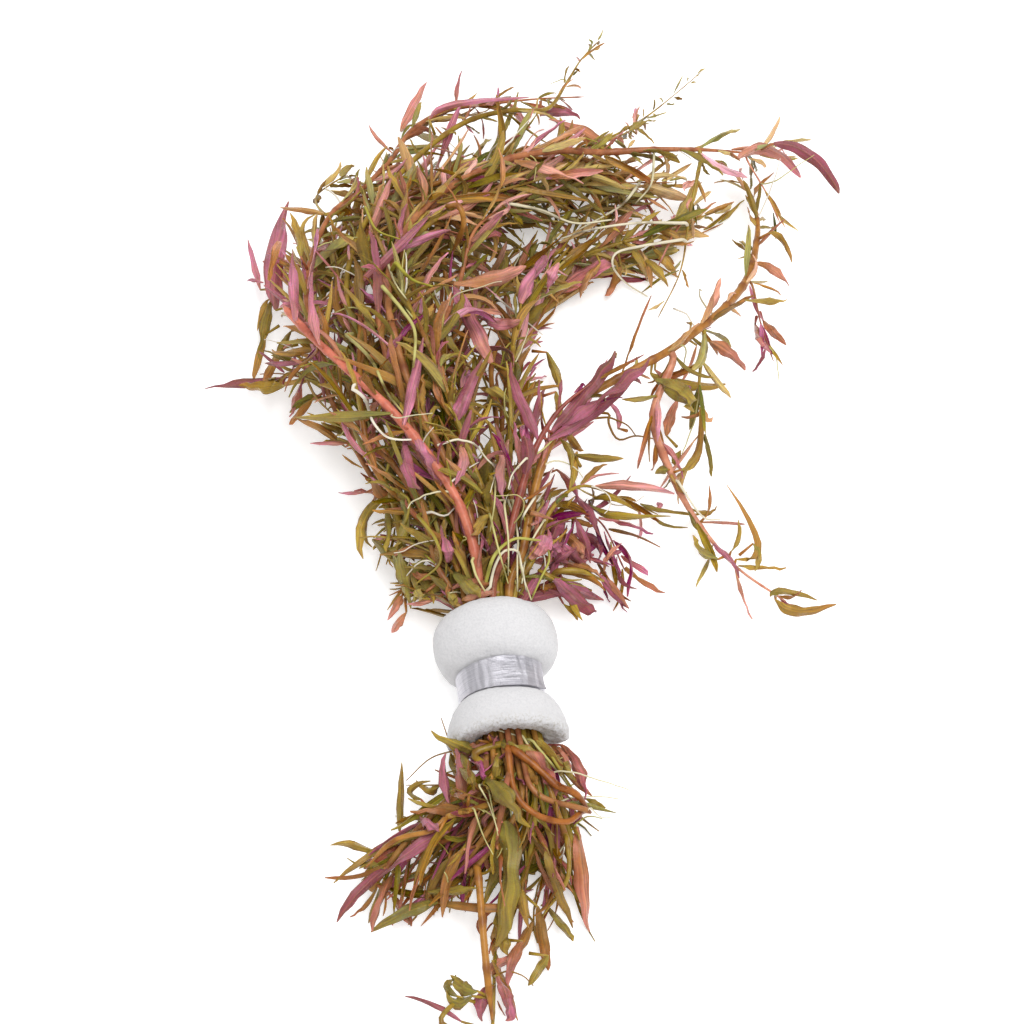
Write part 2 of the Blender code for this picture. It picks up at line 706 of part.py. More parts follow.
def finish(work, name, colour, roughness, metallic=0.0):
    """Makes a named object of the body, in metres and with its own material."""
    bmesh.ops.recalc_face_normals(work, faces=work.faces[:])
    bmesh.ops.scale(work, vec=(MM, MM, MM), verts=work.verts[:])
    mesh = bpy.data.meshes.new(name)
    work.to_mesh(mesh)
    work.free()
    mesh.shade_smooth()
    mesh.set_sharp_from_angle(angle=math.radians(50))
    mesh.materials.append(principled(name, colour, roughness, metallic))
    obj = bpy.data.objects.new(name, mesh)
    bpy.context.scene.collection.objects.link(obj)
    return obj


def stand_on_origin(objects):
    """Moves everything so that the origin is under the middle of the object, on the table."""
    corners = np.array([vert.co for obj in objects for vert in obj.data.vertices])
    low, high = corners.min(0), corners.max(0)
    shift = Vector((-(low[0] + high[0]) / 2, -(low[1] + high[1]) / 2, -low[2]))
    for obj in objects:
        for vert in obj.data.vertices:
            vert.co += shift


def main():
    for old in list(bpy.data.objects):
        bpy.data.objects.remove(old)
    shoots = all_shoots()
    bodies = [stem_body(shoot) for shoot in shoots]
    sleeve, strip = sleeve_body(), strip_body()
    trees = [BVHTree.FromBMesh(work) for work in (sleeve, strip, *(work for work, _ in bodies))]
    for number, (shoot, (work, sockets)) in enumerate(zip(shoots, bodies), 2):
        grow_leaves(shoot, work, sockets, trees[:number] + trees[number + 1 :])
        trees[number] = BVHTree.FromBMesh(work)
    objects = [finish(sleeve, "foam_sleeve", WHITE, 0.95), finish(strip, "metal_strip", SILVER, 0.35, 1.0)]
    for shoot, (work, _) in zip(shoots, bodies):
        objects.append(finish(work, shoot.name, shoot.colour, 0.45))
    stand_on_origin(objects)


main()
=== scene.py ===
# %% [markdown]
# A cut bunch of rotala, an aquarium stem plant, lies on a table. A white foam sleeve holds the
# shoots together, and a thin metal strip is wound round the sleeve's waist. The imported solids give
# every shoot its route and its larger leaves. This script dresses them: round stems with swollen
# nodes, a few thousand curled leaves, thin roots, porous foam and bright wrinkled metal.

# %% Load the frame
import json
import math

import bmesh
import bpy
import numpy as np
from mathutils.bvhtree import BVHTree
from mathutils.kdtree import KDTree
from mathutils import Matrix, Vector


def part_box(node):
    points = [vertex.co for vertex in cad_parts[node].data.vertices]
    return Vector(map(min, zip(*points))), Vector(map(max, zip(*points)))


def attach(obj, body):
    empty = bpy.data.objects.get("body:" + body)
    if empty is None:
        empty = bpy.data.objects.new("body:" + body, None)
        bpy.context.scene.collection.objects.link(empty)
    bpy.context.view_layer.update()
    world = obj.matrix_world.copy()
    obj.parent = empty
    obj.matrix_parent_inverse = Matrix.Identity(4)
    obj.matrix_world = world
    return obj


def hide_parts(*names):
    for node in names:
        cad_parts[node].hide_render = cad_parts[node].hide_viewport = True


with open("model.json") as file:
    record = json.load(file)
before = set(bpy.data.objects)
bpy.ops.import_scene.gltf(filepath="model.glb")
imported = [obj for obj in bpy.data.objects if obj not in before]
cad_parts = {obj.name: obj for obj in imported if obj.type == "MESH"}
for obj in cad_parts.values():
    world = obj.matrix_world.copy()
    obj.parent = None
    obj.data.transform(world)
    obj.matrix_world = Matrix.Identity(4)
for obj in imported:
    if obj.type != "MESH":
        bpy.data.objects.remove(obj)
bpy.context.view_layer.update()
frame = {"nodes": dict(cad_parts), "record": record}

MM = 0.001
slots = {part["node"]: part["material_slot"] for part in frame["record"]["subparts"]}
shoot_names = sorted(name for name in frame["nodes"] if "shoot" in name)
print(len(shoot_names), "shoots among", len(frame["nodes"]), "nodes")

# %% [markdown]
# The sleeve is the one piece whose size is well known, so the other places are given from it. Its
# middle is the middle of the strip's solid, and its axis is turned ten degrees to the left. The
# sleeve that is seen turns a little less, as its own cell says.

# %% Where the sleeve is
SLEEVE_HEIGHT = 12.1 * MM
FAR_END = 16.0 * MM
NEAR_END = 12.5 * MM
UP = np.array((0.0, 0.0, 1.0))


def turned_left(degrees):
    """The directions along the sleeve and across it, when it is turned this far to the left."""
    turn = math.radians(degrees)
    return np.array(((-math.sin(turn), math.cos(turn), 0.0), (math.cos(turn), math.sin(turn), 0.0)))


def beyond_sleeve(points):
    """How far beyond the sleeve's middle points lie, along its axis."""
    return (points - sleeve_centre) @ AXIS


AXIS, SIDE = turned_left(10.0)
strip_low, strip_high = (np.array(corner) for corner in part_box("metal_strip"))
sleeve_centre = np.array((*(strip_low + strip_high)[:2] / 2, SLEEVE_HEIGHT))
print("sleeve centre in mm", (sleeve_centre / MM).round(1))

# %% [markdown]
# The photograph looks down at the bunch from a steep angle with a long lens, so the far shoots
# look a little smaller than the near ones. The camera stands on the near side of the table and
# is tipped forward thirty degrees from looking straight down.

# %% Camera
CAMERA_FROM_SLEEVE = np.array((1.84, -172.43, 371.44)) * MM
bpy.ops.object.camera_add(
    location=(sleeve_centre + CAMERA_FROM_SLEEVE).tolist(), rotation=(math.radians(30), 0, 0))
camera = bpy.context.object
camera.data.lens = 70
camera.data.sensor_width = 36
camera.data.clip_start = 0.01
bpy.context.scene.camera = camera
EYE = np.array(camera.location)
print("camera at", EYE.round(3))

# %% [markdown]
# Small tools come first. Vectors are kept as rows of an array, so one line of code works on a
# thousand leaves at once. Everything is deselected before each new piece, because an operator
# acts on all that is selected.

# %% Tools for arrays and pieces
SHARP_EDGE = math.radians(50)


def unit(rows):
    """Each row made one unit long."""
    rows = np.asarray(rows, float)
    return rows / np.maximum(np.linalg.norm(rows, axis=-1, keepdims=True), 1e-12)


def dot(a, b):
    return np.sum(a * b, axis=-1, keepdims=True)


def select_only(*objects):
    bpy.ops.object.select_all(action="DESELECT")
    for obj in objects:
        obj.select_set(True)
    bpy.context.view_layer.objects.active = objects[0]


def added(operator, name, **options):
    """A new primitive, with nothing else selected."""
    bpy.ops.object.select_all(action="DESELECT")
    operator(**options)
    bpy.context.object.name = name
    return bpy.context.object


def linked(name, data):
    """A new object in the scene for a mesh or a curve."""
    obj = bpy.data.objects.new(name, data)
    bpy.context.scene.collection.objects.link(obj)
    return obj


def shaped_by(obj, kind, **settings):
    """Adds a modifier to the active piece and applies it."""
    modifier = obj.modifiers.new(kind.lower(), kind)
    for key, value in settings.items():
        setattr(modifier, key, value)
    bpy.ops.object.modifier_apply(modifier=modifier.name)


def wear(obj, finish):
    """Gives a piece this material and no other."""
    obj.data.materials.clear()
    obj.data.materials.append(finish)


def smooth_but_for_edges(obj):
    select_only(obj)
    bpy.ops.object.shade_smooth_by_angle(angle=SHARP_EDGE)


def points_of(mesh):
    flat = np.empty(len(mesh.vertices) * 3)
    mesh.vertices.foreach_get("co", flat)
    return flat.reshape(-1, 3)


def move_points(mesh, points):
    mesh.vertices.foreach_set("co", np.asarray(points, float).ravel())
    mesh.update()


def write_values(mesh, **values):
    """Keeps a number for each point of a mesh, or one number for them all, for a material to read."""
    for name, numbers in values.items():
        attribute = mesh.attributes.new(name, "FLOAT", "POINT")
        attribute.data.foreach_set("value", np.full(len(mesh.vertices), numbers, float))


# %% [markdown]
# A shoot's solid is a stem of four-cornered rings with leaves drawn out of its sides. To dress it,
# its centre line and its leaves are read back from the solid. Its triangles are loose, so a copy
# is merged first. A leaf's tip is a corner where four triangles meet over a thin flat section,
# and the stem's rings are found by walking down from its own tip, one ring of corners at a time.

# %% Read a shoot's solid
LEAF_EDGE = 0.65 * MM
RING_EDGE = 1.8 * MM
SAME_NODE = 1.3 * MM


def merged_solid(node):
    solid = bmesh.new()
    solid.from_mesh(frame["nodes"][node].data)
    bmesh.ops.remove_doubles(solid, verts=solid.verts[:], dist=0.002 * MM)
    return solid


def section_below(solid, tip):
    """The four corners under a pointed tip with the edges between them, or nothing."""
    corners = [edge.other_vert(tip) for edge in tip.link_edges]
    pairs = [(a, b) for i, a in enumerate(corners) for b in corners[i + 1:]]
    sides = [edge for edge in (solid.edges.get(pair) for pair in pairs) if edge]
    return (corners, sides) if len(corners) == 4 and len(sides) == 4 else ([], [])


def leaves_of(solid):
    """The solid's leaves, each as its root, its widest place, its tip and its width's direction."""
    leaves, leaf_points = [], set()
    for tip in solid.verts:
        corners, sides = section_below(solid, tip)
        short = [side for side in sides if side.calc_length() < LEAF_EDGE]
        if len(short) != 2:
            continue
        below = {edge.other_vert(corner) for corner in corners for edge in corner.link_edges}
        below -= {tip, *corners}
        left, right = (np.mean([vert.co for vert in side.verts], axis=0) for side in short)
        root = np.mean([vert.co for vert in below], axis=0)
        leaves.append((root, (left + right) / 2, np.array(tip.co), right - left))
        leaf_points |= {tip, *corners}
    return leaves, leaf_points


def centre_line_of(solid, leaf_points):
    """The middle of each of the stem's rings, from the cut end to the tip."""
    for tip in solid.verts:
        corners, sides = section_below(solid, tip)
        if sides and tip not in leaf_points and all(s.calc_length() < RING_EDGE for s in sides):
            break
    ring, seen, middles = {tip}, {tip}, [np.array(tip.co)]
    while True:
        around = {edge.other_vert(vert) for vert in ring for edge in vert.link_edges}
        ring = around - seen - leaf_points
        if not ring:
            break
        seen |= ring
        middles.append(np.mean([vert.co for vert in ring], axis=0))
    line = [middles[-1]]
    for middle in reversed(middles[:-1]):
        if np.linalg.norm(middle - line[-1]) < SAME_NODE:
            line[-1] = (line[-1] + middle) / 2
        else:
            line.append(middle)
    return np.array(line)


shoot_lines, shoot_leaves = {}, {}
for name in shoot_names:
    solid = merged_solid(name)
    shoot_leaves[name], leaf_points = leaves_of(solid)
    shoot_lines[name] = centre_line_of(solid, leaf_points)
    solid.free()
print(sum(len(leaves) for leaves in shoot_leaves.values()), "leaves on the solids")

# %% [markdown]
# Between the solid's nodes a stem bends smoothly. A Catmull-Rom curve passes through every point
# that it is given, so the fine line stays on the solid. Each fine point also needs a direction
# out of the stem that turns as little as possible on the way, or the leaves would spiral. The
# salmon shoot lies on top of the pile, so its line is lifted, and it ends under its last leaves.

# %% Smooth lines and directions
STEP = 0.9 * MM
SALMON_LIFT = 3.0 * MM
SALMON_CUT = 23  # points of its line


def smooth_line(points, step=STEP):
    """A smooth curve through the points, with its own points a step apart."""
    points = np.asarray(points, float)
    ends = np.vstack((2 * points[0] - points[1], points, 2 * points[-1] - points[-2]))
    before, start, end, after = ends[:-3], ends[1:-2], ends[2:-1], ends[3:]
    t = np.linspace(0, 1, 12, endpoint=False)[:, None, None]
    fine = 0.5 * (2 * start + (end - before) * t + (2 * before - 5 * start + 4 * end - after) * t**2
                  + (3 * start - before - 3 * end + after) * t**3)
    fine = np.vstack((fine.transpose(1, 0, 2).reshape(-1, 3), points[-1]))
    reached = np.concatenate(([0.0], np.cumsum(np.linalg.norm(np.diff(fine, axis=0), axis=1))))
    wanted = np.linspace(0, reached[-1], max(3, round(reached[-1] / step)))
    return np.column_stack([np.interp(wanted, reached, fine[:, i]) for i in range(3)])


def directions(line, spin):
    """The direction along the line at each point, and one out of it that doesn't twist."""
    along = unit(np.gradient(line, axis=0))
    level = unit(np.cross(along[0], (0.3, 0.2, 0.93)))
    out = math.cos(spin) * level + math.sin(spin) * np.cross(along[0], level)
    outs = []
    for direction in along:
        out = unit(out - (out @ direction) * direction)
        outs.append(out)
    return along, np.array(outs)


def rooted_line(name):
    """A shoot's line, and for a side shoot from the middle of the stem that it grows from."""
    line = shoot_lines[name]
    if "side" not in name:
        return line
    stems = np.concatenate(
        [smooth_line(shoot_lines[other]) for other in shoot_names if "side" not in other])
    return np.vstack((stems[np.argmin(np.linalg.norm(stems - line[0], axis=1))], line))


def on_top(line):
    """The line, brought a little toward the camera beyond the sleeve, where it lies on the pile."""
    beyond = np.clip((beyond_sleeve(line) - FAR_END) / (12 * MM), 0, 1)[:, None]
    return line + unit(EYE - line) * SALMON_LIFT * beyond


fine_lines = {name: smooth_line(rooted_line(name)) for name in shoot_names}
fine_lines["salmon_shoot"] = on_top(fine_lines["salmon_shoot"])[:-SALMON_CUT]
print("stems in mm", {name: round(len(line) * STEP / MM) for name, line in fine_lines.items()})

# %% [markdown]
# One leaf is modelled by hand and then copied thousands of times, so it has only a few dozen
# faces. It starts as a grid, its rows are scaled to a lance shape, and Solidify gives it a closed
# skin. A finer one serves for the few widest leaves.

# %% Model the leaf
LEAF_OUTLINE = (0.16, 0.52, 0.84, 1.0, 0.98, 0.86, 0.64, 0.36, 0.05)


def leaf_pattern(columns, rows):
    """A flat leaf, modelled once: its points across, along and through, and its faces."""
    leaf = added(bpy.ops.mesh.primitive_grid_add, "leaf", x_subdivisions=columns, y_subdivisions=rows, size=2)
    bpy.ops.object.mode_set(mode="EDIT")
    bpy.ops.mesh.select_all(action="DESELECT")
    corners = bmesh.from_edit_mesh(leaf.data)
    for row in range(rows + 1):
        height = -1 + 2 * row / rows
        width = float(np.interp(row / rows, np.linspace(0, 1, len(LEAF_OUTLINE)), LEAF_OUTLINE))
        for vert in corners.verts:
            vert.select_set(abs(vert.co.y - height) < 0.01)
        corners.select_flush_mode()
        bpy.ops.transform.resize(value=(width, 1, 1), center_override=(0, height, 0))
    bpy.ops.object.mode_set(mode="OBJECT")
    shaped_by(leaf, "SOLIDIFY", thickness=1.0, offset=0)
    points = points_of(leaf.data)
    faces = np.array([tuple(face.vertices)[::-1] for face in leaf.data.polygons])
    bpy.data.objects.remove(leaf)
    return {"across": points[:, 0], "along": (points[:, 1] + 1) / 2, "level": points[:, 2], "faces": faces}


plain_leaf = leaf_pattern(2, 8)
fine_leaf = leaf_pattern(6, 20)
print("a plain leaf has", len(plain_leaf["faces"]), "faces, a fine one", len(fine_leaf["faces"]))

# %% [markdown]
# A bent leaf follows a curve with three handles: its root, a middle handle, and its tip. It is
# folded along its midrib, twisted, waved and a little ragged, and more or less blunt. The whole
# array of leaves is bent at once. What would sink into the table is laid on it instead.

# %% Bend many leaves at once
GROUND = 0.25 * MM
LEAF_THICKNESS = 0.2 * MM


def on_curve(t, root, handle, tip):
    """The point this far along the curve that a root, a middle handle and a tip give."""
    return (1 - t) ** 2 * root + 2 * t * (1 - t) * handle + t**2 * tip


def bent_leaves(pattern, leaf):
    """The points of every leaf, from arrays with one row for each leaf."""
    t, across, level = (pattern[key][None, :, None] for key in ("along", "across", "level"))
    width, twist, fold, wave, ragged, phase, blunt = (
        leaf[key][:, None, None] for key in ("width", "twist", "fold", "wave", "ragged", "phase", "blunt"))
    root, handle, tip, curl, side = (
        leaf[key][:, None, :] for key in ("root", "handle", "tip", "curl", "side"))
    spine = on_curve(t, root, handle, tip) + t**3 * curl
    along = unit(2 * (1 - t) * (handle - root) + 2 * t * (tip - handle) + 3 * t**2 * curl)
    side = unit(side - dot(side, along) * along)
    flat = np.cross(along, side)
    turn = twist * t
    side, flat = np.cos(turn) * side + np.sin(turn) * flat, np.cos(turn) * flat - np.sin(turn) * side
    strap = 1 + blunt * (1.6 * np.abs(2 * t - 0.9) ** 3)
    half = width / 2 * strap * (1 + ragged * np.sin(phase * 3 + 17 * t + 2 * across))
    waved = np.sin(phase + 9 * t) * wave * across + 0.3 * wave * np.sin(23 * t + across)
    lift = fold * np.abs(across) + waved
    points = spine + side * across * half + flat * (lift * half + level * LEAF_THICKNESS)
    upward = np.sign(flat[..., 2]) * level[..., 0]
    points[..., 2] = np.maximum(points[..., 2], GROUND + (upward + 0.5) * LEAF_THICKNESS)
    return points


def leaf_mesh(name, pattern, leaf, finish):
    """One mesh of many leaves, with the values that the leaf's material reads."""
    count, corners = len(leaf["root"]), len(pattern["along"])
    points = bent_leaves(pattern, leaf).reshape(-1, 3)
    faces = pattern["faces"][None] + corners * np.arange(count)[:, None, None]
    mesh = bpy.data.meshes.new(name)
    mesh.from_pydata(points.tolist(), [], faces.reshape(-1, 4).tolist())
    write_values(
        mesh, leaf_along=np.tile(pattern["along"], count), leaf_across=np.tile(pattern["across"], count),
        leaf_top=np.tile(pattern["level"] > 0, count), leaf_tint=np.repeat(leaf["tint"], corners),
        leaf_shade=np.repeat(leaf["shade"], corners))
    obj = linked(name, mesh)
    wear(obj, finish)
    smooth_but_for_edges(obj)
    return obj


# %% [markdown]
# The photograph shows the bunch's outline, and the grown leaves should stay inside it. The outline
# is given as the table points that are seen behind it, in millimetres to the right of the sleeve's
# centre and beyond it. A leaf that would reach outside is made shorter, or left out. Only some
# shoots that stand out by themselves may grow leaves outside it. Two stems lie bare on top of the
# pile, so the leaves of other shoots keep off them.

# %% Keep the leaves inside the outline
FAR_OUTLINE = (
    (-14, 24), (-21, 24), (-23, 20), (-22, 26), (-24, 34), (-27, 37), (-30, 41), (-29, 47), (-31, 57),
    (-34, 65), (-41, 71), (-47, 73), (-49, 79), (-55, 83), (-58, 87), (-56, 98), (-58, 111),
    (-59, 121), (-59, 133), (-52, 135), (-49, 125), (-45, 123), (-41, 132), (-38, 140), (-38, 148),
    (-33, 147), (-32, 153), (-27, 156), (-23, 165), (-18, 165), (-14, 169), (-1, 170), (11, 170),
    (18, 164), (24, 158), (34, 157), (48, 151), (59, 148), (59, 136), (47, 129), (44, 126), (43, 117),
    (36, 110), (34, 100), (32, 107), (29, 113), (23, 114), (19, 107), (13, 108), (10, 104), (8, 98),
    (12, 90), (14, 83), (22, 88), (26, 92), (34, 90), (35, 86), (27, 78), (20, 72), (16, 68), (15, 64),
    (26, 64), (15, 61), (11, 57), (19, 53), (16, 47), (21, 47), (22, 38), (26, 40), (23, 33), (27, 25),
    (20, 27), (19, 23), (11, 25), (10, 27))
NEAR_OUTLINE = (
    (-10, -6), (-13, -9), (-15, -15), (-20, -12), (-22, -24), (-27, -30), (-34, -28), (-32, -32),
    (-34, -37), (-26, -34), (-33, -45), (-25, -47), (-18, -46), (-13, -42), (-5, -43), (-3, -53),
    (-4, -65), (3, -65), (0, -58), (6, -53), (8, -56), (9, -47), (14, -49), (17, -47), (17, -32),
    (16, -24), (21, -21), (18, -18), (16, -10), (14, -6))
SHOWN_OUTSIDE = (
    "back_shoot", "bent_side_shoot", "drooping_side_shoot", "end_side_shoot", "far_right_shoot",
    "far_shoot", "inner_side_shoot", "low_right_shoot", "red_arch_shoot", "right_long_shoot",
    "top_side_shoot")
BARE_STEMS_ON_TOP = ("salmon_shoot", "right_long_shoot")
KEPT_OFF = 2.8  # millimetres of the table, to each side of a bare stem
SHORTER = 0.75


def seen_place(points):
    """The table points that are hidden behind these points, as the outline gives them."""
    ground = EYE + (points - EYE) * EYE[2] / (EYE[2] - points[:, 2:])
    return (ground - sleeve_centre)[:, :2] / MM


def inside(points):
    """Which points are seen inside one of the outlines."""
    right, beyond = seen_place(points).T
    found = np.zeros(len(points), bool)
    for outline in (FAR_OUTLINE, NEAR_OUTLINE):
        for (right_a, beyond_a), (right_b, beyond_b) in zip(outline, outline[1:] + outline[:1]):
            if beyond_a != beyond_b:
                crossing = right_a + (beyond - beyond_a) * (right_b - right_a) / (beyond_b - beyond_a)
                found ^= ((beyond_a > beyond) != (beyond_b > beyond)) & (right < crossing)
    return found


top_points = np.concatenate([fine_lines[name] for name in BARE_STEMS_ON_TOP])
top_places = seen_place(top_points)


def off_bare_stems(leaf):
    """Which leaves don't lie over the two stems that the photograph shows bare."""
    clear = np.ones(len(leaf["root"]), bool)
    for t in (0.2, 0.45, 0.7, 1.0):
        points = on_curve(t, leaf["root"], leaf["handle"], leaf["tip"])
        apart = np.linalg.norm(seen_place(points)[:, None] - top_places, axis=2)
        nearest = apart.argmin(axis=1)
        clear &= (apart.min(axis=1) > KEPT_OFF) | (points[:, 2] < top_points[nearest, 2] - 1 * MM)
    return clear


def kept_inside(name, leaf, all_kept=False):
    """A shoot's leaves, those that reach out of the outline shortened or left out."""
    free = ~inside(leaf["root"]) & (name in SHOWN_OUTSIDE)
    for _ in range(3):
        shorter = np.where(free | inside(leaf["tip"]), 1.0, SHORTER)
        for key in ("handle", "tip"):
            leaf[key] = leaf["root"] + (leaf[key] - leaf["root"]) * shorter[:, None]
        leaf["length"] = leaf["length"] * shorter
    kept = free | inside(leaf["tip"]) | all_kept
    return {key: value[kept] for key, value in leaf.items()}


print(int(inside(top_points).sum()), "of", len(top_points), "points of the bare stems are in the outline")

# %% [markdown]
# Rotala's leaves stand in pairs, each pair a quarter turn from the last. Pairs are closer together
# at a shoot's tip, and a little closer far beyond the sleeve. Some shoots are nearly bare, so a
# table gives them greater distances. No pairs grow inside the sleeve.

# %% Where the pairs of leaves grow
# distances between pairs of leaves, in millimetres
INTERNODE = 2.8
TIP_INTERNODE = 2.0
INTERNODES = {
    "salmon_shoot": 11.0, "right_long_shoot": 9.5, "far_right_shoot": 6.0, "far_shoot": 7.0,
    "back_shoot": 6.5, "hook_side_shoot": 7.0, "drooping_side_shoot": 9.0, "bent_side_shoot": 8.0,
    "end_side_shoot": 11.0, "inner_side_shoot": 7.0, "low_right_shoot": 6.0}
CROWDED_BEYOND = 100 * MM
CROWDING = 0.7
FIRST_PAIR = 2 * MM
TIP_LENGTH = 12 * MM


def leaf_places(name, line, draw):
    """Where along a line its pairs of leaves grow, as numbers of its points."""
    total = len(line) * STEP
    places, at = [], FIRST_PAIR
    while at < total - 0.5 * MM:
        places.append(at)
        near_tip = max(0.0, 1 - (total - at) / TIP_LENGTH)
        here = line[min(int(at / STEP), len(line) - 1)] - sleeve_centre
        internode = INTERNODES.get(name, INTERNODE) * (CROWDING if here[1] > CROWDED_BEYOND else 1.0)
        at += (internode * (1 - near_tip) + TIP_INTERNODE * near_tip) * MM * draw.uniform(0.8, 1.25)
    rows = np.minimum((np.array(places) / STEP).astype(int), len(line) - 1)
    place = beyond_sleeve(line[rows])
    aside = np.abs((line[rows] - sleeve_centre) @ SIDE) > 12 * MM
    return rows[(place > FAR_END + 1 * MM) | (place < -NEAR_END + 0.5 * MM) | aside]


pairs = leaf_places("arch_shoot", fine_lines["arch_shoot"], np.random.default_rng(0))
print("the arch shoot has room for", len(pairs), "pairs of leaves")

# %% [markdown]
# A shoot's tip has its youngest leaves, short and upright, and on the near side the wet leaves hang
# away from the sleeve. Where the solid has a leaf of its own, none is added. The first half of a
# leaf leans out from the stem, and the second half bends down a little more.

# %% Grow leaves between the solid's own
LEAF_LENGTH = 13 * MM
# shares of that length for shoots with smaller leaves
LEAF_SIZES = {
    "far_shoot": 0.4, "back_shoot": 0.28, "hook_side_shoot": 0.5, "far_right_shoot": 0.85,
    "top_side_shoot": 0.55, "end_side_shoot": 0.7, "bent_side_shoot": 0.75, "drooping_side_shoot": 0.75,
    "right_long_shoot": 0.7}
LEAN = (10, 66)  # degrees from the stem
RIM_LEAN = (30, 75)
RIM_REACH = 9 * MM
SKIPPED_AT_RIM = 0.5
SKIPPED_BELOW = 0.12
SALMON_BARE_END = 14  # points of its line
LEAF_FOOT = 0.6 * MM
SAME_PLACE = 2.0 * MM


def grown_leaves(name, line, draw):
    """Leaves for the places between the solid's own."""
    along, outs = directions(line, draw.uniform(0, math.pi))
    rows = leaf_places(name, line, draw)
    if name == "salmon_shoot":
        rows = rows[rows < len(line) - SALMON_BARE_END]
    taken = np.array([leaf[0] for leaf in shoot_leaves[name]]).reshape(-1, 3)
    grown = {key: [] for key in ("root", "handle", "tip", "side", "length")}
    for number, row in enumerate(rows):
        if len(taken) and np.linalg.norm(taken - line[row], axis=1).min() < SAME_PLACE:
            continue
        near_tip = max(0.0, 1 - (len(line) - row) * STEP / TIP_LENGTH)
        place = beyond_sleeve(line[row])
        below = place < 0 and "side" not in name
        at_rim = below and place > -NEAR_END - RIM_REACH
        pair_length = LEAF_LENGTH * LEAF_SIZES.get(name, 1)
        pair_length *= draw.uniform(0.6, 1.25) * (1 - 0.4 * near_tip)
        for half_turn in (0, 1):
            if below and draw.uniform(0, 1) < (SKIPPED_AT_RIM if at_rim else SKIPPED_BELOW):
                continue
            angle = math.pi * (0.5 * number + half_turn) + draw.normal(0, 0.3)
            out = math.cos(angle) * outs[row] + math.sin(angle) * np.cross(along[row], outs[row])
            lean = math.radians(draw.uniform(*LEAN) * (1 - 0.5 * near_tip))
            if below:
                lean = math.pi - (math.radians(draw.uniform(*RIM_LEAN)) if at_rim else lean * 0.8)
            first = math.cos(lean) * along[row] + math.sin(lean) * out
            length = pair_length * draw.uniform(0.85, 1.1)
            bend = draw.normal(0, 0.45, 3) - draw.uniform(0.05, 0.6) * UP
            root = line[row] + out * LEAF_FOOT
            handle = root + first * 0.5 * length
            tip = handle + unit(first + bend) * 0.5 * length
            side = np.cross(along[row], first) + draw.normal(0, 0.25, 3)
            for key, value in zip(grown, (root, handle, tip, side, length)):
                grown[key].append(value)
    return {key: np.array(value, float) for key, value in grown.items()}


pairs = grown_leaves("arch_shoot", fine_lines["arch_shoot"], np.random.default_rng(0))
print("the arch shoot grows", len(pairs["root"]), "leaves before any is left out")

# %% [markdown]
# The larger leaves that the solids have are followed: the middle handle is worked out so that the
# curve passes through the leaf's widest place. Three shoots show smaller leaves than their solids,
# and the salmon shoot keeps only those that hang down, because it is bare on top.

# %% Follow the solid's own leaves
WIDEST = 0.42  # the widest place's share of a solid leaf's length
FOLLOWED_SIZES = {"back_shoot": 0.45, "right_long_shoot": 0.75, "low_right_shoot": 0.75}


def followed_leaves(name):
    """The solid's own leaves as curves through their widest places."""
    leaves = [leaf for leaf in shoot_leaves[name] if name != "salmon_shoot" or leaf[1][2] < leaf[0][2]]
    root, widest, tip, side = (np.array(column) for column in zip(*leaves))
    handle = (widest - (1 - WIDEST) ** 2 * root - WIDEST**2 * tip) / (2 * WIDEST * (1 - WIDEST))
    size = FOLLOWED_SIZES.get(name, 1)
    handle, tip = root + (handle - root) * size, root + (tip - root) * size
    length = size * (np.linalg.norm(widest - root, axis=1) + np.linalg.norm(tip - widest, axis=1))
    return {"root": root, "handle": handle, "tip": tip, "side": side, "length": length}


print("the arch shoot's solid gives", len(followed_leaves("arch_shoot")["root"]), "leaves")

# %% [markdown]
# Last, every leaf gets its own width, curl, colour and shade. Colours are places on a scale from
# olive at 0 to dark purple at 1. Each leaf's shade is partly random. It paints the leaves lighter far
# away and at the right, where they lie loose and the light reaches them from all sides, and darker
# on the near side: painted light and painted shade.

# %% Give every leaf its width, curl and colour
NEAR_TINTS = (0.02, 0.08, 0.15, 0.22, 0.30, 0.40, 0.50, 0.66, 0.84)
TINTS = {
    "olive_shoot": (0.02, 0.10, 0.18, 0.25, 0.36, 0.45, 0.75),
    "brown_shoot": (0.08, 0.15, 0.24, 0.34, 0.44, 0.52, 0.78),
    "pink_shoot": (0.06, 0.14, 0.24, 0.38, 0.48, 0.74, 0.84),
    "dark_red_shoot": (0.30, 0.50, 0.78, 0.88, 0.95, 1.00),
    "salmon_shoot": (0.10, 0.18, 0.30, 0.45, 0.74, 0.84),
}
SHADES = {"dark_red_shoot": 0.7}
# how much lighter leaves are painted, by millimetres beyond the sleeve and to the right of it: painted light
LIGHTER_BEYOND = ((-15, 10, 60, 110), (0.66, 0.95, 1.27, 1.95))
LIGHTER_RIGHT = ((20, 40), (1.0, 1.35))
GREENER_BEYOND = ((90, 110), (1.0, 0.85))
NARROWEST = 0.65 * MM
WIDTH_SHARES = (0.01, 0.10)  # of the length, added to the narrowest
BROAD_LEAVES = 0.14  # the share of leaves that are broad
BROADER = 1.7
NEAR_WIDTH = 0.82
LEAF_WIDTHS = {"back_shoot": 0.6, "far_shoot": 0.7, "end_side_shoot": 0.8}
FOLLOWED_CURL = 0.3  # a followed leaf's share of a grown leaf's curl


def light_at(points):
    """The painted light on the leaves: how much lighter they are far away and at the right, where they lie
    loose.
    """
    right, beyond = ((points - sleeve_centre)[:, :2] / MM).T
    return np.interp(beyond, *LIGHTER_BEYOND) * np.interp(right, *LIGHTER_RIGHT)


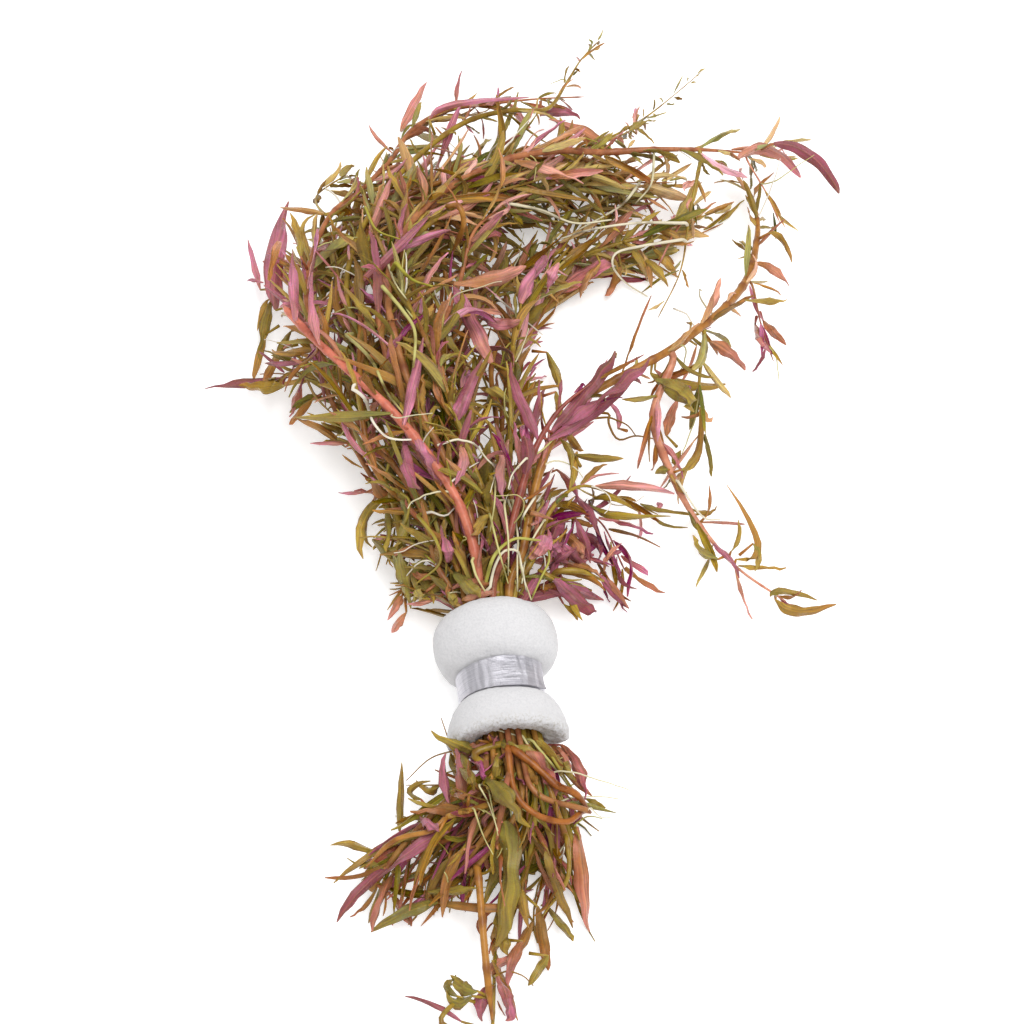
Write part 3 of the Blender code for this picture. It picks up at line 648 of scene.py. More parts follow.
def all_leaves(name, line, draw):
    """Every leaf of a shoot, with its own width, curl and colour."""
    grown = kept_inside(name, grown_leaves(name, line, draw))
    if name not in BARE_STEMS_ON_TOP:
        clear = off_bare_stems(grown)
        grown = {key: value[clear] for key, value in grown.items()}
    parts = [grown]
    if shoot_leaves[name]:
        parts.append(kept_inside(name, followed_leaves(name), name != "red_low_shoot"))
    parts = [part for part in parts if len(part["root"])]
    leaf = {key: np.concatenate([part[key] for part in parts]) for key in parts[0]}
    root, length, count = leaf["root"], leaf["length"], len(leaf["root"])
    near = beyond_sleeve(root) < 0
    width = NARROWEST + length * draw.uniform(*WIDTH_SHARES, count)
    broad = draw.uniform(0, 1, count) < BROAD_LEAVES
    width *= np.where(broad, BROADER, 1) * LEAF_WIDTHS.get(name, 1)
    leaf["width"] = width * np.where(near, NEAR_WIDTH, 1.0)
    leaf["twist"] = draw.normal(0, 1.3, count)
    for key, least, most in (("fold", 0.1, 1.0), ("wave", 0, 0.5), ("ragged", 0, 0.14), ("blunt", 0, 1)):
        leaf[key] = draw.uniform(least, most, count)
    leaf["curl"] = draw.normal(0, 0.19, (count, 3)) * length[:, None]
    leaf["curl"][len(parts[0]["root"]):] *= FOLLOWED_CURL
    leaf["phase"] = draw.uniform(0, 6.3, count)
    tint = np.where(near, draw.choice(NEAR_TINTS, count), draw.choice(TINTS[slots[name]], count))
    tint = tint * np.interp((root - sleeve_centre)[:, 1] / MM, *GREENER_BEYOND)
    leaf["tint"] = np.clip(tint + draw.normal(0, 0.05, count), 0, 1)
    leaf["shade"] = draw.uniform(0, 1, count) * light_at(root) * SHADES.get(slots[name], 1)
    return leaf


arch_leaves = all_leaves("arch_shoot", fine_lines["arch_shoot"], np.random.default_rng(0))
print("the arch shoot keeps", len(arch_leaves["root"]), "leaves in all")

# %% [markdown]
# A stem is a curve with a round bevel, a little thicker at every node. The curve is turned into a
# mesh, and each ring of the mesh keeps its place along the stem and how near it is to a node, so
# that the material can darken the nodes.

# %% Model a stem
STEM_RADIUS = 0.62
STEM_RADII = {
    "salmon_shoot": 1.0, "right_long_shoot": 0.9, "far_right_shoot": 0.8, "purple_shoot": 0.8,
    "back_shoot": 0.36, "drooping_side_shoot": 0.85, "hook_side_shoot": 0.5}
IN_SLEEVE_RADIUS = 0.95
NODE_SPACING = 10
NODE_SWELL = 0.2
TAPER_LENGTH = 40 * MM
THIN_TIP = 0.3
SALMON_TIP = 0.85


def tubes(name, lines, radii, finish):
    """Round tubes along lines, as one mesh with closed ends. The radii are in millimetres."""
    curve = bpy.data.curves.new(name, "CURVE")
    curve.dimensions = "3D"
    curve.bevel_depth = 1.0
    curve.bevel_resolution = 2
    curve.use_fill_caps = True
    for line, radius in zip(lines, radii):
        spline = curve.splines.new("POLY")
        spline.points.add(len(line) - 1)
        spline.points.foreach_set("co", np.column_stack((line, np.ones(len(line)))).ravel())
        spline.points.foreach_set("radius", radius * MM)
    select_only(linked(name, curve))
    bpy.ops.object.convert(target="MESH")
    bpy.ops.object.mode_set(mode="EDIT")
    bpy.ops.mesh.select_all(action="SELECT")
    bpy.ops.mesh.remove_doubles(threshold=0.001 * MM)
    bpy.ops.object.mode_set(mode="OBJECT")
    bpy.ops.object.shade_smooth()
    wear(bpy.context.object, finish)
    return bpy.context.object


def nearest_rows(obj, line):
    """For each point of a mesh, the number of the line's nearest point."""
    tree = KDTree(len(line))
    for row, point in enumerate(line):
        tree.insert(point, row)
    tree.balance()
    return np.array([tree.find(point)[1] for point in points_of(obj.data)])


def near_a_node(rows, spacing):
    """How near each point of a stem is to one of its nodes."""
    return np.exp(-((rows % spacing - spacing // 2) / 0.9) ** 2)


def swollen(radii, near_node):
    return radii * (1 + NODE_SWELL * near_node)


def stem_of(name, line, draw, finish):
    """A shoot's stem, thinner toward its tip, and thin where it passes through the sleeve."""
    count, rows = len(line), np.arange(len(line))
    near_node = near_a_node(rows + draw.integers(0, NODE_SPACING), NODE_SPACING)
    thinnest = SALMON_TIP if name == "salmon_shoot" else THIN_TIP
    taper = np.clip((count - rows) * STEP / TAPER_LENGTH, thinnest, 1)
    taper *= np.clip((count - rows) / 3, 0.4, 1)
    radii = swollen(STEM_RADII.get(name, STEM_RADIUS) * taper, near_node)
    place = beyond_sleeve(line)
    radii = np.where(place < 0, np.minimum(radii, STEM_RADIUS), radii)
    in_sleeve = (place > -NEAR_END - 4 * MM) & (place < FAR_END + 4 * MM)
    radii = np.where(in_sleeve, np.minimum(radii, IN_SLEEVE_RADIUS), radii)
    obj = tubes(name + "_stem", [line], [radii], finish)
    ring = nearest_rows(obj, line)
    write_values(obj.data, stem_node=near_node[ring], stem_along=rows[ring] / count)
    return obj


# %% [markdown]
# Each finish is a small node tree. These helpers add a node and give its inputs their values, or
# join other nodes' outputs to them, in one line.

# %% Material tools
def feed(node, inputs):
    """Gives a node's inputs numbers, colours or vectors, or joins other nodes' outputs to them."""
    for name, value in inputs.items():
        socket = node.inputs[name]
        if isinstance(value, bpy.types.NodeSocket):
            node.id_data.links.new(value, socket)
        elif socket.type == "RGBA":
            socket.default_value = (*value, 1)
        else:
            socket.default_value = value


def new_node(tree, kind, inputs, **settings):
    node = tree.nodes.new("ShaderNode" + kind)
    for name, value in settings.items():
        setattr(node, name, value)
    feed(node, inputs)
    return node


def new_material(name):
    material = bpy.data.materials.new(name)
    material.use_nodes = True
    return material, material.node_tree, material.node_tree.nodes["Principled BSDF"]


def noise(tree, scale, detail=4.0, roughness=0.55, place=None):
    """Noise in the object's own coordinates, or at the places given."""
    if place is None:
        place = new_node(tree, "TexCoord", {}).outputs["Object"]
    return new_node(tree, "TexNoise", {
        "Scale": scale, "Detail": detail, "Roughness": roughness, "Vector": place}).outputs["Fac"]


def value_of(tree, name):
    """The number that a mesh keeps for each point."""
    return new_node(tree, "Attribute", {}, attribute_name=name).outputs["Fac"]


def arithmetic(tree, operation, *values, clamp=False):
    node = new_node(tree, "Math", dict(enumerate(values)), operation=operation, use_clamp=clamp)
    return node.outputs["Value"]


def scaled(tree, value, factor, plus=0.0, clamp=False):
    return arithmetic(tree, "MULTIPLY_ADD", value, factor, plus, clamp=clamp)


def ramp(tree, place, *stops):
    """Colours, or tones of grey given as one number, at places along a scale."""
    node = new_node(tree, "ValToRGB", {"Fac": place})
    elements = node.color_ramp.elements
    while len(elements) < len(stops):
        elements.new(0.5)
    for element, (at, colour) in zip(elements, stops):
        element.position = at
        element.color = (*(colour if isinstance(colour, tuple) else (colour,) * 3), 1)
    return node.outputs["Color"]


def mix(tree, share, a, b, blend="MIX"):
    """Two colours mixed or multiplied. Sockets 6 and 7 are the ones that take colours."""
    node = new_node(tree, "Mix", {}, data_type="RGBA", blend_type=blend)
    feed(node, {"Factor": share, 6: a, 7: b})
    return node.outputs[2]


def bump(tree, height, strength, depth):
    return new_node(tree, "Bump", {
        "Strength": strength, "Distance": depth, "Height": height}).outputs["Normal"]


# %% [markdown]
# A leaf's colour runs from olive through brown to pink and purple. Where a leaf is on that scale is
# its own tint, warmed towards its tip, and noise breaks it into patches. The midrib is paler, the
# underside is paler too, fine streaks run from root to tip, and a pale painted haze of light lies
# on the leaves that their shade paints lighter. Stems change colour from their cut end to their
# young end and are darker at their nodes.

# %% Leaf, stem and root finishes
# how much pale painted haze of light lies on the leaves that their shade paints lighter
PAINTED_HAZE = 0.09
PAINTED_HAZES = {"dark_red_shoot": 0.02}
LEAF_SCALE = (
    (0.00, (0.085, 0.115, 0.003)),
    (0.22, (0.250, 0.180, 0.005)),
    (0.48, (0.260, 0.100, 0.008)),
    (0.70, (0.405, 0.150, 0.140)),
    (0.84, (0.400, 0.118, 0.235)),
    (1.00, (0.170, 0.016, 0.080)),
)
MIDRIB = (0.50, 0.33, 0.12)
UNDERSIDE = (0.50, 0.33, 0.14)
HAZE_COLOUR = (0.58, 0.42, 0.38)
EDGE_TONE = (0.55, 0.42, 0.35)
BLOTCH_TONE = (0.62, 0.55, 0.5)
UNDER_SKIN = 0.0015  # metres that light goes under the skin
# colours of the young end, the old end and the nodes
STEM_COLOURS = {
    "olive_shoot": ((0.36, 0.24, 0.03), (0.38, 0.27, 0.04), (0.18, 0.08, 0.02)),
    "brown_shoot": ((0.40, 0.17, 0.03), (0.40, 0.21, 0.04), (0.19, 0.06, 0.02)),
    "pink_shoot": ((0.44, 0.17, 0.07), (0.40, 0.21, 0.05), (0.22, 0.06, 0.03)),
    "dark_red_shoot": ((0.30, 0.07, 0.05), (0.36, 0.17, 0.05), (0.14, 0.03, 0.02)),
    "salmon_shoot": ((0.66, 0.20, 0.13), (0.24, 0.10, 0.03), (0.42, 0.11, 0.07)),
    "rosy_tan": ((0.66, 0.30, 0.19), (0.60, 0.26, 0.15), (0.45, 0.15, 0.08)),
    "orange": ((0.36, 0.12, 0.02), (0.32, 0.11, 0.018), (0.16, 0.04, 0.01)),
}
ROSY_TAN_STEMS = ("drooping_side_shoot", "end_side_shoot")


def leaf_finish(name, haze):
    """A leaf's finish, with how much pale painted haze of light lies on its lighter leaves."""
    material, tree, shader = new_material(name)
    tint, along, across, shade, top = (
        value_of(tree, "leaf_" + key) for key in ("tint", "along", "across", "shade", "top"))
    warmed = arithmetic(tree, "ADD", tint, scaled(tree, along, 0.16, -0.06))
    patchy = scaled(tree, noise(tree, 160), 0.3, -0.15)
    colour = ramp(tree, arithmetic(tree, "ADD", warmed, patchy, clamp=True), *LEAF_SCALE)
    middle = arithmetic(tree, "ABSOLUTE", across)
    rib = ramp(tree, middle, (0.0, 1), (0.14, 0))
    colour = mix(tree, scaled(tree, rib, 0.18), colour, MIDRIB)
    strands = new_node(tree, "CombineXYZ", {
        "X": scaled(tree, across, 5.0), "Y": scaled(tree, along, 2.5), "Z": scaled(tree, shade, 90.0)})
    streaks = noise(tree, 1.0, 3.0, 0.5, strands.outputs["Vector"])
    streaks = ramp(tree, streaks, (0.30, 0.38), (0.55, 1.0), (0.75, 1.5))
    colour = mix(tree, 1.0, colour, streaks, "MULTIPLY")
    colour = mix(tree, 1.0, colour, ramp(tree, middle, (0.7, 1), (1.0, EDGE_TONE)), "MULTIPLY")
    # the shade sets each leaf's brightness and saturation: a random tone with painted light and painted shade
    # in it
    bright = new_node(tree, "HueSaturation", {
        "Color": colour,
        "Value": scaled(tree, shade, 1.0, 0.6),
        "Saturation": scaled(tree, shade, -0.2, 1.22)})
    colour = mix(tree, scaled(tree, top, -0.2, 0.2), bright.outputs["Color"], UNDERSIDE)
    veins = noise(tree, 900)
    feed(shader, {
        # a pale painted haze of light, stronger where the leaf's shade paints it lighter
        "Base Color": mix(tree, scaled(tree, shade, haze), colour, HAZE_COLOUR),
        "Normal": bump(tree, veins, 0.5, 0.0005),
        "Roughness": scaled(tree, veins, 0.35, 0.12),
        "Specular IOR Level": 0.15,
        "Subsurface Weight": 0.2,
        "Subsurface Radius": (0.6, 0.3, 0.12),
        "Subsurface Scale": UNDER_SKIN})
    return material


def stem_finish(name, young, old, node_colour):
    material, tree, shader = new_material(name)
    place = arithmetic(tree, "ADD", value_of(tree, "stem_along"), scaled(tree, noise(tree, 220), 0.5))
    colour = ramp(tree, place, (0.15, old), (0.95, young))
    blotches = ramp(tree, noise(tree, 420), (0.35, BLOTCH_TONE), (0.6, 1.0))
    colour = mix(tree, 1.0, colour, blotches, "MULTIPLY")
    feed(shader, {
        "Base Color": mix(tree, scaled(tree, value_of(tree, "stem_node"), 0.7), colour, node_colour),
        "Normal": bump(tree, noise(tree, 1200), 0.25, 0.0004),
        "Roughness": 0.35,
        "Specular IOR Level": 0.25,
        "Coat Weight": 0.1,
        "Coat Roughness": 0.12,
        "Subsurface Weight": 0.15,
        "Subsurface Radius": (1.0, 0.45, 0.2),
        "Subsurface Scale": UNDER_SKIN})
    return material


def root_pale():
    """Roots run from white through yellow-green to brown, by their tone."""
    material, tree, shader = new_material("root_pale")
    tone = arithmetic(tree, "ADD", value_of(tree, "root_tone"), scaled(tree, noise(tree, 300), 0.15))
    feed(shader, {
        "Base Color": ramp(tree, tone, (0.05, (0.75, 0.69, 0.59)), (0.45, (0.55, 0.50, 0.22)),
                           (0.85, (0.36, 0.34, 0.04)), (1.1, (0.26, 0.13, 0.02))),
        "Normal": bump(tree, noise(tree, 1600), 0.2, 0.0003),
        "Roughness": 0.45,
        "Specular IOR Level": 0.3})
    return material


leaf_finishes = {slot: leaf_finish(slot + "_leaf", PAINTED_HAZES.get(slot, PAINTED_HAZE)) for slot in TINTS}
stem_finishes = {slot: stem_finish(slot + "_stem", *colours) for slot, colours in STEM_COLOURS.items()}
root_finish = root_pale()
print(len(leaf_finishes), "leaf finishes,", len(stem_finishes), "stem finishes and one for roots")

# %% [markdown]
# Each shoot is now put together from its stem and its leaves and joined as one piece, because it
# grew as one. It has its own seed, so a change to one shoot leaves the others as they are.

# %% Build the shoots
shoots = {}
for number, name in enumerate(shoot_names):
    draw = np.random.default_rng(number)
    line = fine_lines[name]
    stem = stem_of(name, line, draw, stem_finishes["rosy_tan" if name in ROSY_TAN_STEMS else slots[name]])
    leaves = leaf_mesh(
        name + "_leaves", plain_leaf, all_leaves(name, line, draw), leaf_finishes[slots[name]])
    select_only(stem, leaves)
    bpy.ops.object.join()
    shoot = bpy.context.object
    shoot.name = name + "_grown"
    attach(shoot, "root")
    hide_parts(name)
    shoots[name] = shoot
faces = sum(len(shoot.data.polygons) for shoot in shoots.values())
print(len(shoots), "shoots with", faces, "faces")

# %% [markdown]
# Some leaves and roots are easy to pick out in the photograph, so they are placed one by one. Each
# place is given as the point of the table that is seen behind it, in millimetres to the right of
# the sleeve's centre and beyond it. A line of sight to that point meets the pile, or the sleeve,
# where the leaf lies. Each leaf and each root starts with a short stalk toward a stem that is near
# its first place.

# %% Find places along lines of sight
LOW_PILE = 6 * MM
LONGEST_STALK = 4 * MM


def tree_of(objects):
    corners, faces, first = [], [], 0
    for obj in objects:
        points = points_of(obj.data)
        corners.extend(points.tolist())
        faces.extend(tuple(first + i for i in face.vertices) for face in obj.data.polygons)
        first += len(points)
    return BVHTree.FromPolygons(corners, faces)


pile_tree = tree_of([*shoots.values(), frame["nodes"]["foam_sleeve"]])
stem_points = np.concatenate([fine_lines[name] for name in shoot_names])
stem_owners = [name for name in shoot_names for _ in fine_lines[name]]
print(len(stem_points), "points of stems")


def table_point(place):
    return sleeve_centre * (1, 1, 0) + np.array((*place, 0.0)) * MM


def seen_height(place, expected=None, reach=8 * MM):
    """How high the pile is where it hides this point of the table."""
    hit = pile_tree.ray_cast(EYE, unit(table_point(place) - EYE))[0]
    if hit is None or (expected is not None and abs(hit.z - expected) > reach):
        return expected
    return hit.z


def seen_at(place, height):
    """The point of this height that hides this point of the table."""
    ground = table_point(place)
    return ground + (EYE - ground) * height / EYE[2]


def nearest_stem(point, heading, turn=0.6):
    """The nearest stem, rather one behind the point, and where a stalk toward it starts."""
    away = point - stem_points
    distance = np.linalg.norm(away, axis=1)
    index = int(np.argmin(distance * (1 + turn - turn * unit(away) @ unit(heading))))
    return stem_owners[index], point - unit(away[index]) * min(distance[index], LONGEST_STALK)


def laid_route(places, lift, sinking, close=1):
    """A route over the pile through the places, from near a stem, that sinks where nothing is below."""
    heights = [seen_height(places[0]) or LOW_PILE]
    for place in places[1:]:
        below = seen_height(place, heights[-1])
        heights.append(heights[-1] * sinking if seen_height(place) is None else below)
    padded = np.pad(heights, close, "edge")
    highest = np.array([padded[i:i + 2 * close + 1].max() for i in range(len(heights))])
    smooth = np.convolve(np.pad(highest, 1, "edge"), (0.25, 0.5, 0.25), "valid")
    heights = np.maximum(smooth + lift, 0.5 * MM)
    route = [seen_at(place, height) for place, height in zip(places, heights)]
    owner, start = nearest_stem(route[0], route[1] - route[0])
    return owner, np.array([start, *route])


# %% [markdown]
# A placed leaf arches over whatever lies between its two ends. The wide ones are seen best, so
# they are bent from the finer leaf.

# %% Leaves that the photograph shows one by one
WIDE_LEAF = 2.3 * MM
# places of root, middle and tip, then the width in millimetres and the place on the colour scale
SEEN_LEAVES = (
    # along the left edge
    (-54, 104, -55, 118, -53, 136, 4.8, 0.82), (-49, 101, -50, 110, -51, 121, 2.4, 0.82),
    (-43, 94, -45, 104, -46, 115, 2.2, 0.80), (-41, 94, -42, 99, -44, 105, 1.8, 0.45),
    (-49, 120, -50, 126, -52, 133, 2.0, 0.22), (-58, 110, -60, 118, -62, 125, 1.6, 0.80),
    (-50, 85, -60, 83, -69, 82, 1.9, 1.00), (-39, 106, -29, 118, -18, 133, 2.2, 0.76),
    (-27, 121, -20, 125, -13, 128, 1.9, 0.84), (-26, 75, -36, 74, -48, 74, 2.3, 0.06),
    (-36, 67, -39, 67, -44, 67, 1.0, 0.70), (-36, 66, -42, 71, -48, 74, 1.6, 0.40),
    (-23, 72, -21, 83, -19, 96, 2.3, 0.88), (67, 155, 76, 151, 82, 139, 3.0, 0.93),
    (-23, 69, -22, 61, -19, 55, 2.8, 0.90), (-20, 68, -17, 61, -14, 56, 3.0, 0.88),
    (-3, 89, -8, 101, -12, 111, 3.8, 0.78), (4, 101, -1, 100, -6, 102, 2.6, 0.74),
    (-11, 73, -9, 80, -5, 90, 3.2, 0.92), (4, 106, 7, 114, 12, 122, 3.2, 0.82),
    (-51, 83, -56, 82, -61, 83, 3.0, 0.30), (11, 70, 19, 81, 26, 92, 3.1, 0.97),
    (13, 72, 24, 81, 34, 90, 3.7, 0.94), (10, 68, 20, 75, 29, 83, 2.6, 0.92),
    (34, 86, 41, 83, 51, 83, 2.8, 0.20), (35, 84, 41, 80, 43, 76, 4.2, 0.10),
    (35, 87, 39, 83, 45, 82, 2.4, 0.78), (58, 150, 66, 153, 73, 144, 3.0, 0.70),
    (16, 64, 22, 63, 27, 63, 1.8, 0.15),
    # at the left edge, under the salmon shoot
    (-55, 107, -56, 99, -57, 90, 2.4, 0.12), (-56, 97, -57, 91, -58, 84, 1.8, 0.34),
    (-52, 93, -54, 88, -56, 82, 2.0, 0.40), (-47, 83, -48, 79, -49, 74, 2.2, 0.70),
    (-44, 79, -47, 75, -49, 72, 1.6, 0.45), (-50, 98, -52, 93, -53, 88, 1.8, 0.10),
    (-56, 107, -57, 104, -58, 98, 1.4, 0.25),
    # at the hook's inner edge
    (36, 122, 39, 118, 41, 114, 2.2, 0.30), (33, 119, 36, 116, 39, 111, 2.2, 0.18),
    (23, 118, 20, 113, 18, 108, 2.2, 0.45), (28, 117, 26, 112, 24, 108, 2.2, 0.52),
    (35, 129, 40, 127, 43, 125, 2.0, 0.36), (30, 123, 33, 118, 34, 113, 1.8, 0.22),
    (19, 120, 17, 115, 14, 111, 2.4, 0.72), (13, 118, 11, 114, 10, 109, 2.4, 0.78),
    # right of the middle
    (10, 92, 12, 86, 13, 80, 2.0, 0.12), (12, 81, 13, 76, 14, 71, 1.8, 0.20),
    (14, 71, 16, 67, 18, 65, 1.8, 0.35), (12, 60, 15, 57, 17, 52, 2.0, 0.76),
    (13, 68, 15, 65, 15, 60, 1.6, 0.18),
    # at the left, beyond the sleeve
    (-26, 159, -23, 167, -20, 175, 2.4, 0.65), (-12, 168, -12, 172, -11, 179, 1.2, 0.70),
    (-19, 163, -12, 168, 6, 170, 1.6, 0.80), (-28, 152, -32, 157, -34, 161, 1.0, 0.65),
    (9, 164, 14, 165, 19, 163, 2.6, 0.90), (26, 151, 21, 157, 11, 163, 3.2, 0.56),
    (33, 158, 33, 163, 34, 167, 1.0, 0.60), (-9, 132, -4, 129, 1, 127, 2.2, 0.78),
    (3, 140, -2, 139, -8, 138, 2.0, 0.78), (-12, 112, -1, 114, 5, 117, 3.4, 0.60),
    (-12, 120, -8, 118, -3, 114, 2.2, 0.60),
    # around the long shoot at the right
    (16, 73, 20, 81, 24, 90, 2.0, 0.80), (26, 71, 26, 75, 24, 78, 1.4, 0.80),
    (35, 80, 31, 79, 27, 79, 1.2, 0.10), (37, 69, 38, 74, 40, 79, 2.4, 0.60),
    (40, 60, 44, 65, 45, 77, 1.8, 0.30), (38, 62, 39, 63, 40, 65, 2.2, 0.05),
    (37, 60, 36, 60, 34, 59, 2.0, 0.05), (45, 48, 46, 52, 46, 56, 0.8, 0.50),
    (47, 37, 43, 39, 42, 43, 1.8, 0.12), (51, 37, 56, 41, 50, 56, 1.6, 0.35),
    (55, 41, 56, 38, 55, 34, 1.4, 0.12), (50, 39, 52, 43, 52, 47, 1.0, 0.20),
    (59, 27, 64, 24, 72, 26, 2.6, 0.32), (58, 28, 61, 29, 68, 27, 1.6, 0.12),
    (48, 95, 52, 92, 56, 87, 2.6, 0.62), (59, 100, 60, 96, 62, 92, 2.0, 0.70),
    (61, 101, 63, 98, 66, 94, 2.0, 0.60), (45, 94, 43, 88, 41, 84, 0.9, 0.60),
    (17, 55, 20, 58, 26, 59, 0.7, 0.70), (22, 36, 24, 38, 26, 39, 1.2, 0.75),
    (21, 33, 24, 30, 27, 25, 1.4, 0.60), (11, 32, 16, 27, 20, 24, 3.4, 0.90),
    (13, 26, 15, 24, 16, 22, 1.0, 0.20), (64, 127, 67, 125, 69, 118, 1.6, 0.30),
    (60, 118, 64, 116, 68, 111, 2.0, 0.55), (57, 107, 63, 107, 67, 107, 1.4, 0.20),
    # just beyond the sleeve
    (-26, 53, -31, 47, -31, 37, 2.2, 0.15), (-29, 42, -26, 39, -24, 37, 1.6, 0.10),
    (-24, 38, -21, 32, -21, 27, 3.6, 0.08), (-22, 28, -23, 26, -25, 22, 1.8, 0.60),
    (-15, 27, -18, 26, -21, 26, 0.9, 0.65), (-12, 36, -12, 39, -14, 45, 2.0, 0.85),
    (-10, 66, -9, 62, -11, 56, 2.2, 0.75), (-5, 54, -10, 58, -15, 60, 1.6, 0.12),
    (-3, 48, -5, 46, -7, 43, 2.2, 0.30), (6, 37, 8, 41, 10, 44, 4.2, 0.78),
    (6, 46, 8, 48, 10, 52, 1.8, 0.74), (-3, 31, -7, 31, -11, 30, 2.0, 0.62),
    (-31, 54, -34, 54, -37, 54, 0.8, 0.75), (1, 68, 0, 61, 0, 52, 2.6, 0.70),
    (-17, 31, -19, 29, -18, 27, 3.0, 0.10), (-12, 33, -14, 31, -16, 29, 3.2, 0.12),
    # at both sides of the sleeve's far rim
    (12, 32, 17, 29, 21, 27, 2.4, 0.90), (14, 30, 15, 26, 17, 22, 1.6, 0.15),
    (21, 33, 24, 29, 27, 25, 2.2, 0.92), (22, 34, 23, 38, 26, 41, 1.0, 0.62),
    (15, 43, 20, 42, 21, 37, 2.0, 0.95), (10, 50, 12, 47, 10, 42, 3.0, 0.95),
    (16, 53, 19, 49, 21, 43, 2.0, 0.95), (19, 52, 24, 53, 30, 49, 1.6, 0.20),
    (19, 51, 25, 48, 37, 48, 1.8, 0.12), (5, 51, 7, 48, 10, 45, 2.4, 0.80),
    (9, 43, 11, 40, 14, 36, 3.2, 0.86), (12, 41, 16, 37, 18, 33, 2.4, 0.92),
    (16, 47, 18, 41, 19, 36, 2.2, 0.95), (11, 37, 17, 35, 21, 33, 2.2, 0.50),
    (9, 29, 12, 30, 19, 29, 2.4, 0.55), (12, 44, 16, 41, 17, 37, 2.4, 0.56),
    (10, 35, 13, 38, 16, 40, 1.8, 0.92), (-23, 39, -22, 32, -20, 25, 2.8, 0.04),
    (-21, 24, -23, 21, -24, 19, 1.8, 0.60), (-27, 40, -25, 38, -23, 35, 1.6, 0.10),
    (-18, 28, -15, 30, -13, 32, 2.2, 0.08), (-11, 35, -8, 31, -5, 28, 2.8, 0.06),
    (-12, 29, -11, 27, -10, 25, 2.0, 0.15), (-9, 27, -6, 28, -1, 29, 1.6, 0.58),
    (-23, 52, -22, 46, -24, 40, 2.0, 0.05), (-17, 37, -19, 32, -16, 27, 2.2, 0.10),
    (-20, 34, -17, 31, -15, 26, 2.0, 0.12), (-26, 51, -25, 44, -26, 39, 1.8, 0.08),
    (-29, 52, -31, 46, -29, 40, 2.0, 0.12),
    # at the near rim
    (-9, -9, -6, -8, -3, -9, 1.8, 0.80), (-7, -7, -5, -7, -2, -6, 1.6, 0.66),
    (-1, -6, 1, -7, 4, -8, 1.8, 0.12), (2, -7, 5, -8, 8, -10, 1.6, 0.20),
    (-10, -9, -8, -11, -7, -14, 2.0, 0.15), (-11, -9, -10, -12, -8, -15, 2.0, 0.10),
    (9, -9, 11, -11, 12, -14, 2.0, 0.15), (7, -6, 9, -8, 12, -12, 1.8, 0.22),
    (12, -9, 13, -12, 15, -15, 1.8, 0.12), (-7, -10, -5, -12, -4, -15, 2.0, 0.85),
    (-9, -12, -7, -14, -6, -17, 2.2, 0.20), (-13, -14, -11, -15, -8, -17, 2.0, 0.12),
    (-1, -9, -1, -12, -2, -16, 2.0, 0.16), (4, -10, 6, -13, 7, -16, 1.8, 0.40),
    (-5, -6, -7, -9, -9, -12, 1.6, 0.45), (10, -7, 12, -9, 14, -13, 1.6, 0.62),
    # near side of the sleeve
    (0, -24, 1, -34, -1, -50, 4.6, 0.10), (15, -25, 16, -36, 17, -47, 2.8, 0.62),
    (-11, -26, -17, -29, -25, -36, 2.4, 0.88), (-22, -33, -28, -38, -33, -45, 2.2, 0.97),
    (-22, -35, -24, -40, -26, -47, 1.8, 0.66), (-22, -40, -20, -43, -18, -46, 2.0, 0.60),
    (-25, -31, -30, -29, -35, -29, 1.8, 0.20), (-15, -26, -24, -30, -34, -37, 2.0, 0.25),
    (-24, -34, -27, -33, -29, -34, 1.4, 0.12), (-13, -41, -19, -43, -26, -47, 2.6, 0.04),
    (-13, -41, -5, -42, 4, -42, 2.0, 0.45), (-15, -39, -10, -39, -5, -38, 2.0, 0.15),
    (-4, -14, 1, -18, 5, -25, 3.6, 0.12), (-11, -20, -12, -14, -12, -9, 1.9, 0.88),
    (-8, -20, -9, -14, -10, -7, 2.1, 0.72), (-4, -14, -4, -11, -4, -7, 2.2, 0.66),
    (-13, -26, -15, -24, -17, -23, 2.4, 0.88), (-6, -21, -8, -20, -10, -19, 1.7, 0.86),
    (-7, -18, -9, -18, -11, -18, 1.4, 0.60), (11, -22, 11, -29, 10, -36, 1.2, 0.80),
    (-21, -26, -21, -19, -21, -11, 1.5, 0.18), (-5, -9, -9, -7, -15, -4, 2.4, 0.10),
    (-7, -22, -13, -21, -19, -22, 2.2, 0.50), (12, -7, 15, -12, 17, -19, 2.6, 0.72),
    (5, -7, 8, -12, 11, -18, 3.0, 0.68), (-4, -9, -4, -11, -3, -14, 2.0, 0.60),
    (-3, -5, -1, -6, 1, -7, 2.0, 0.80), (-8, -13, -5, -12, -2, -12, 1.4, 0.60),
    (6, -27, 10, -33, 14, -39, 1.4, 0.50), (9, -42, 12, -46, 14, -49, 1.6, 0.08),
    (7, -42, 8, -49, 9, -55, 2.4, 0.45), (9, -52, 7, -55, 5, -58, 1.8, 0.12),
    (17, -19, 19, -20, 21, -21, 1.2, 0.12), (-8, -30, -11, -36, -12, -44, 2.2, 0.45),
    (-11, -32, -14, -37, -16, -42, 1.8, 0.35), (-1, -30, -2, -36, -4, -42, 2.0, 0.15),
    (9, -30, 10, -36, 14, -46, 1.8, 0.30), (2, -34, 4, -41, 5, -46, 2.0, 0.30),
    (-1, -42, 0, -47, 1, -52, 3.0, 0.18), (-2, -56, -1, -54, 3, -52, 2.4, 0.64),
    (-2, -58, -4, -61, -4, -65, 2.8, 0.80), (-1, -56, 1, -61, 1, -65, 2.4, 0.80),
    (-2, -53, 1, -59, 3, -65, 1.6, 0.45), (-5, -59, -8, -58, -10, -56, 2.6, 0.02),
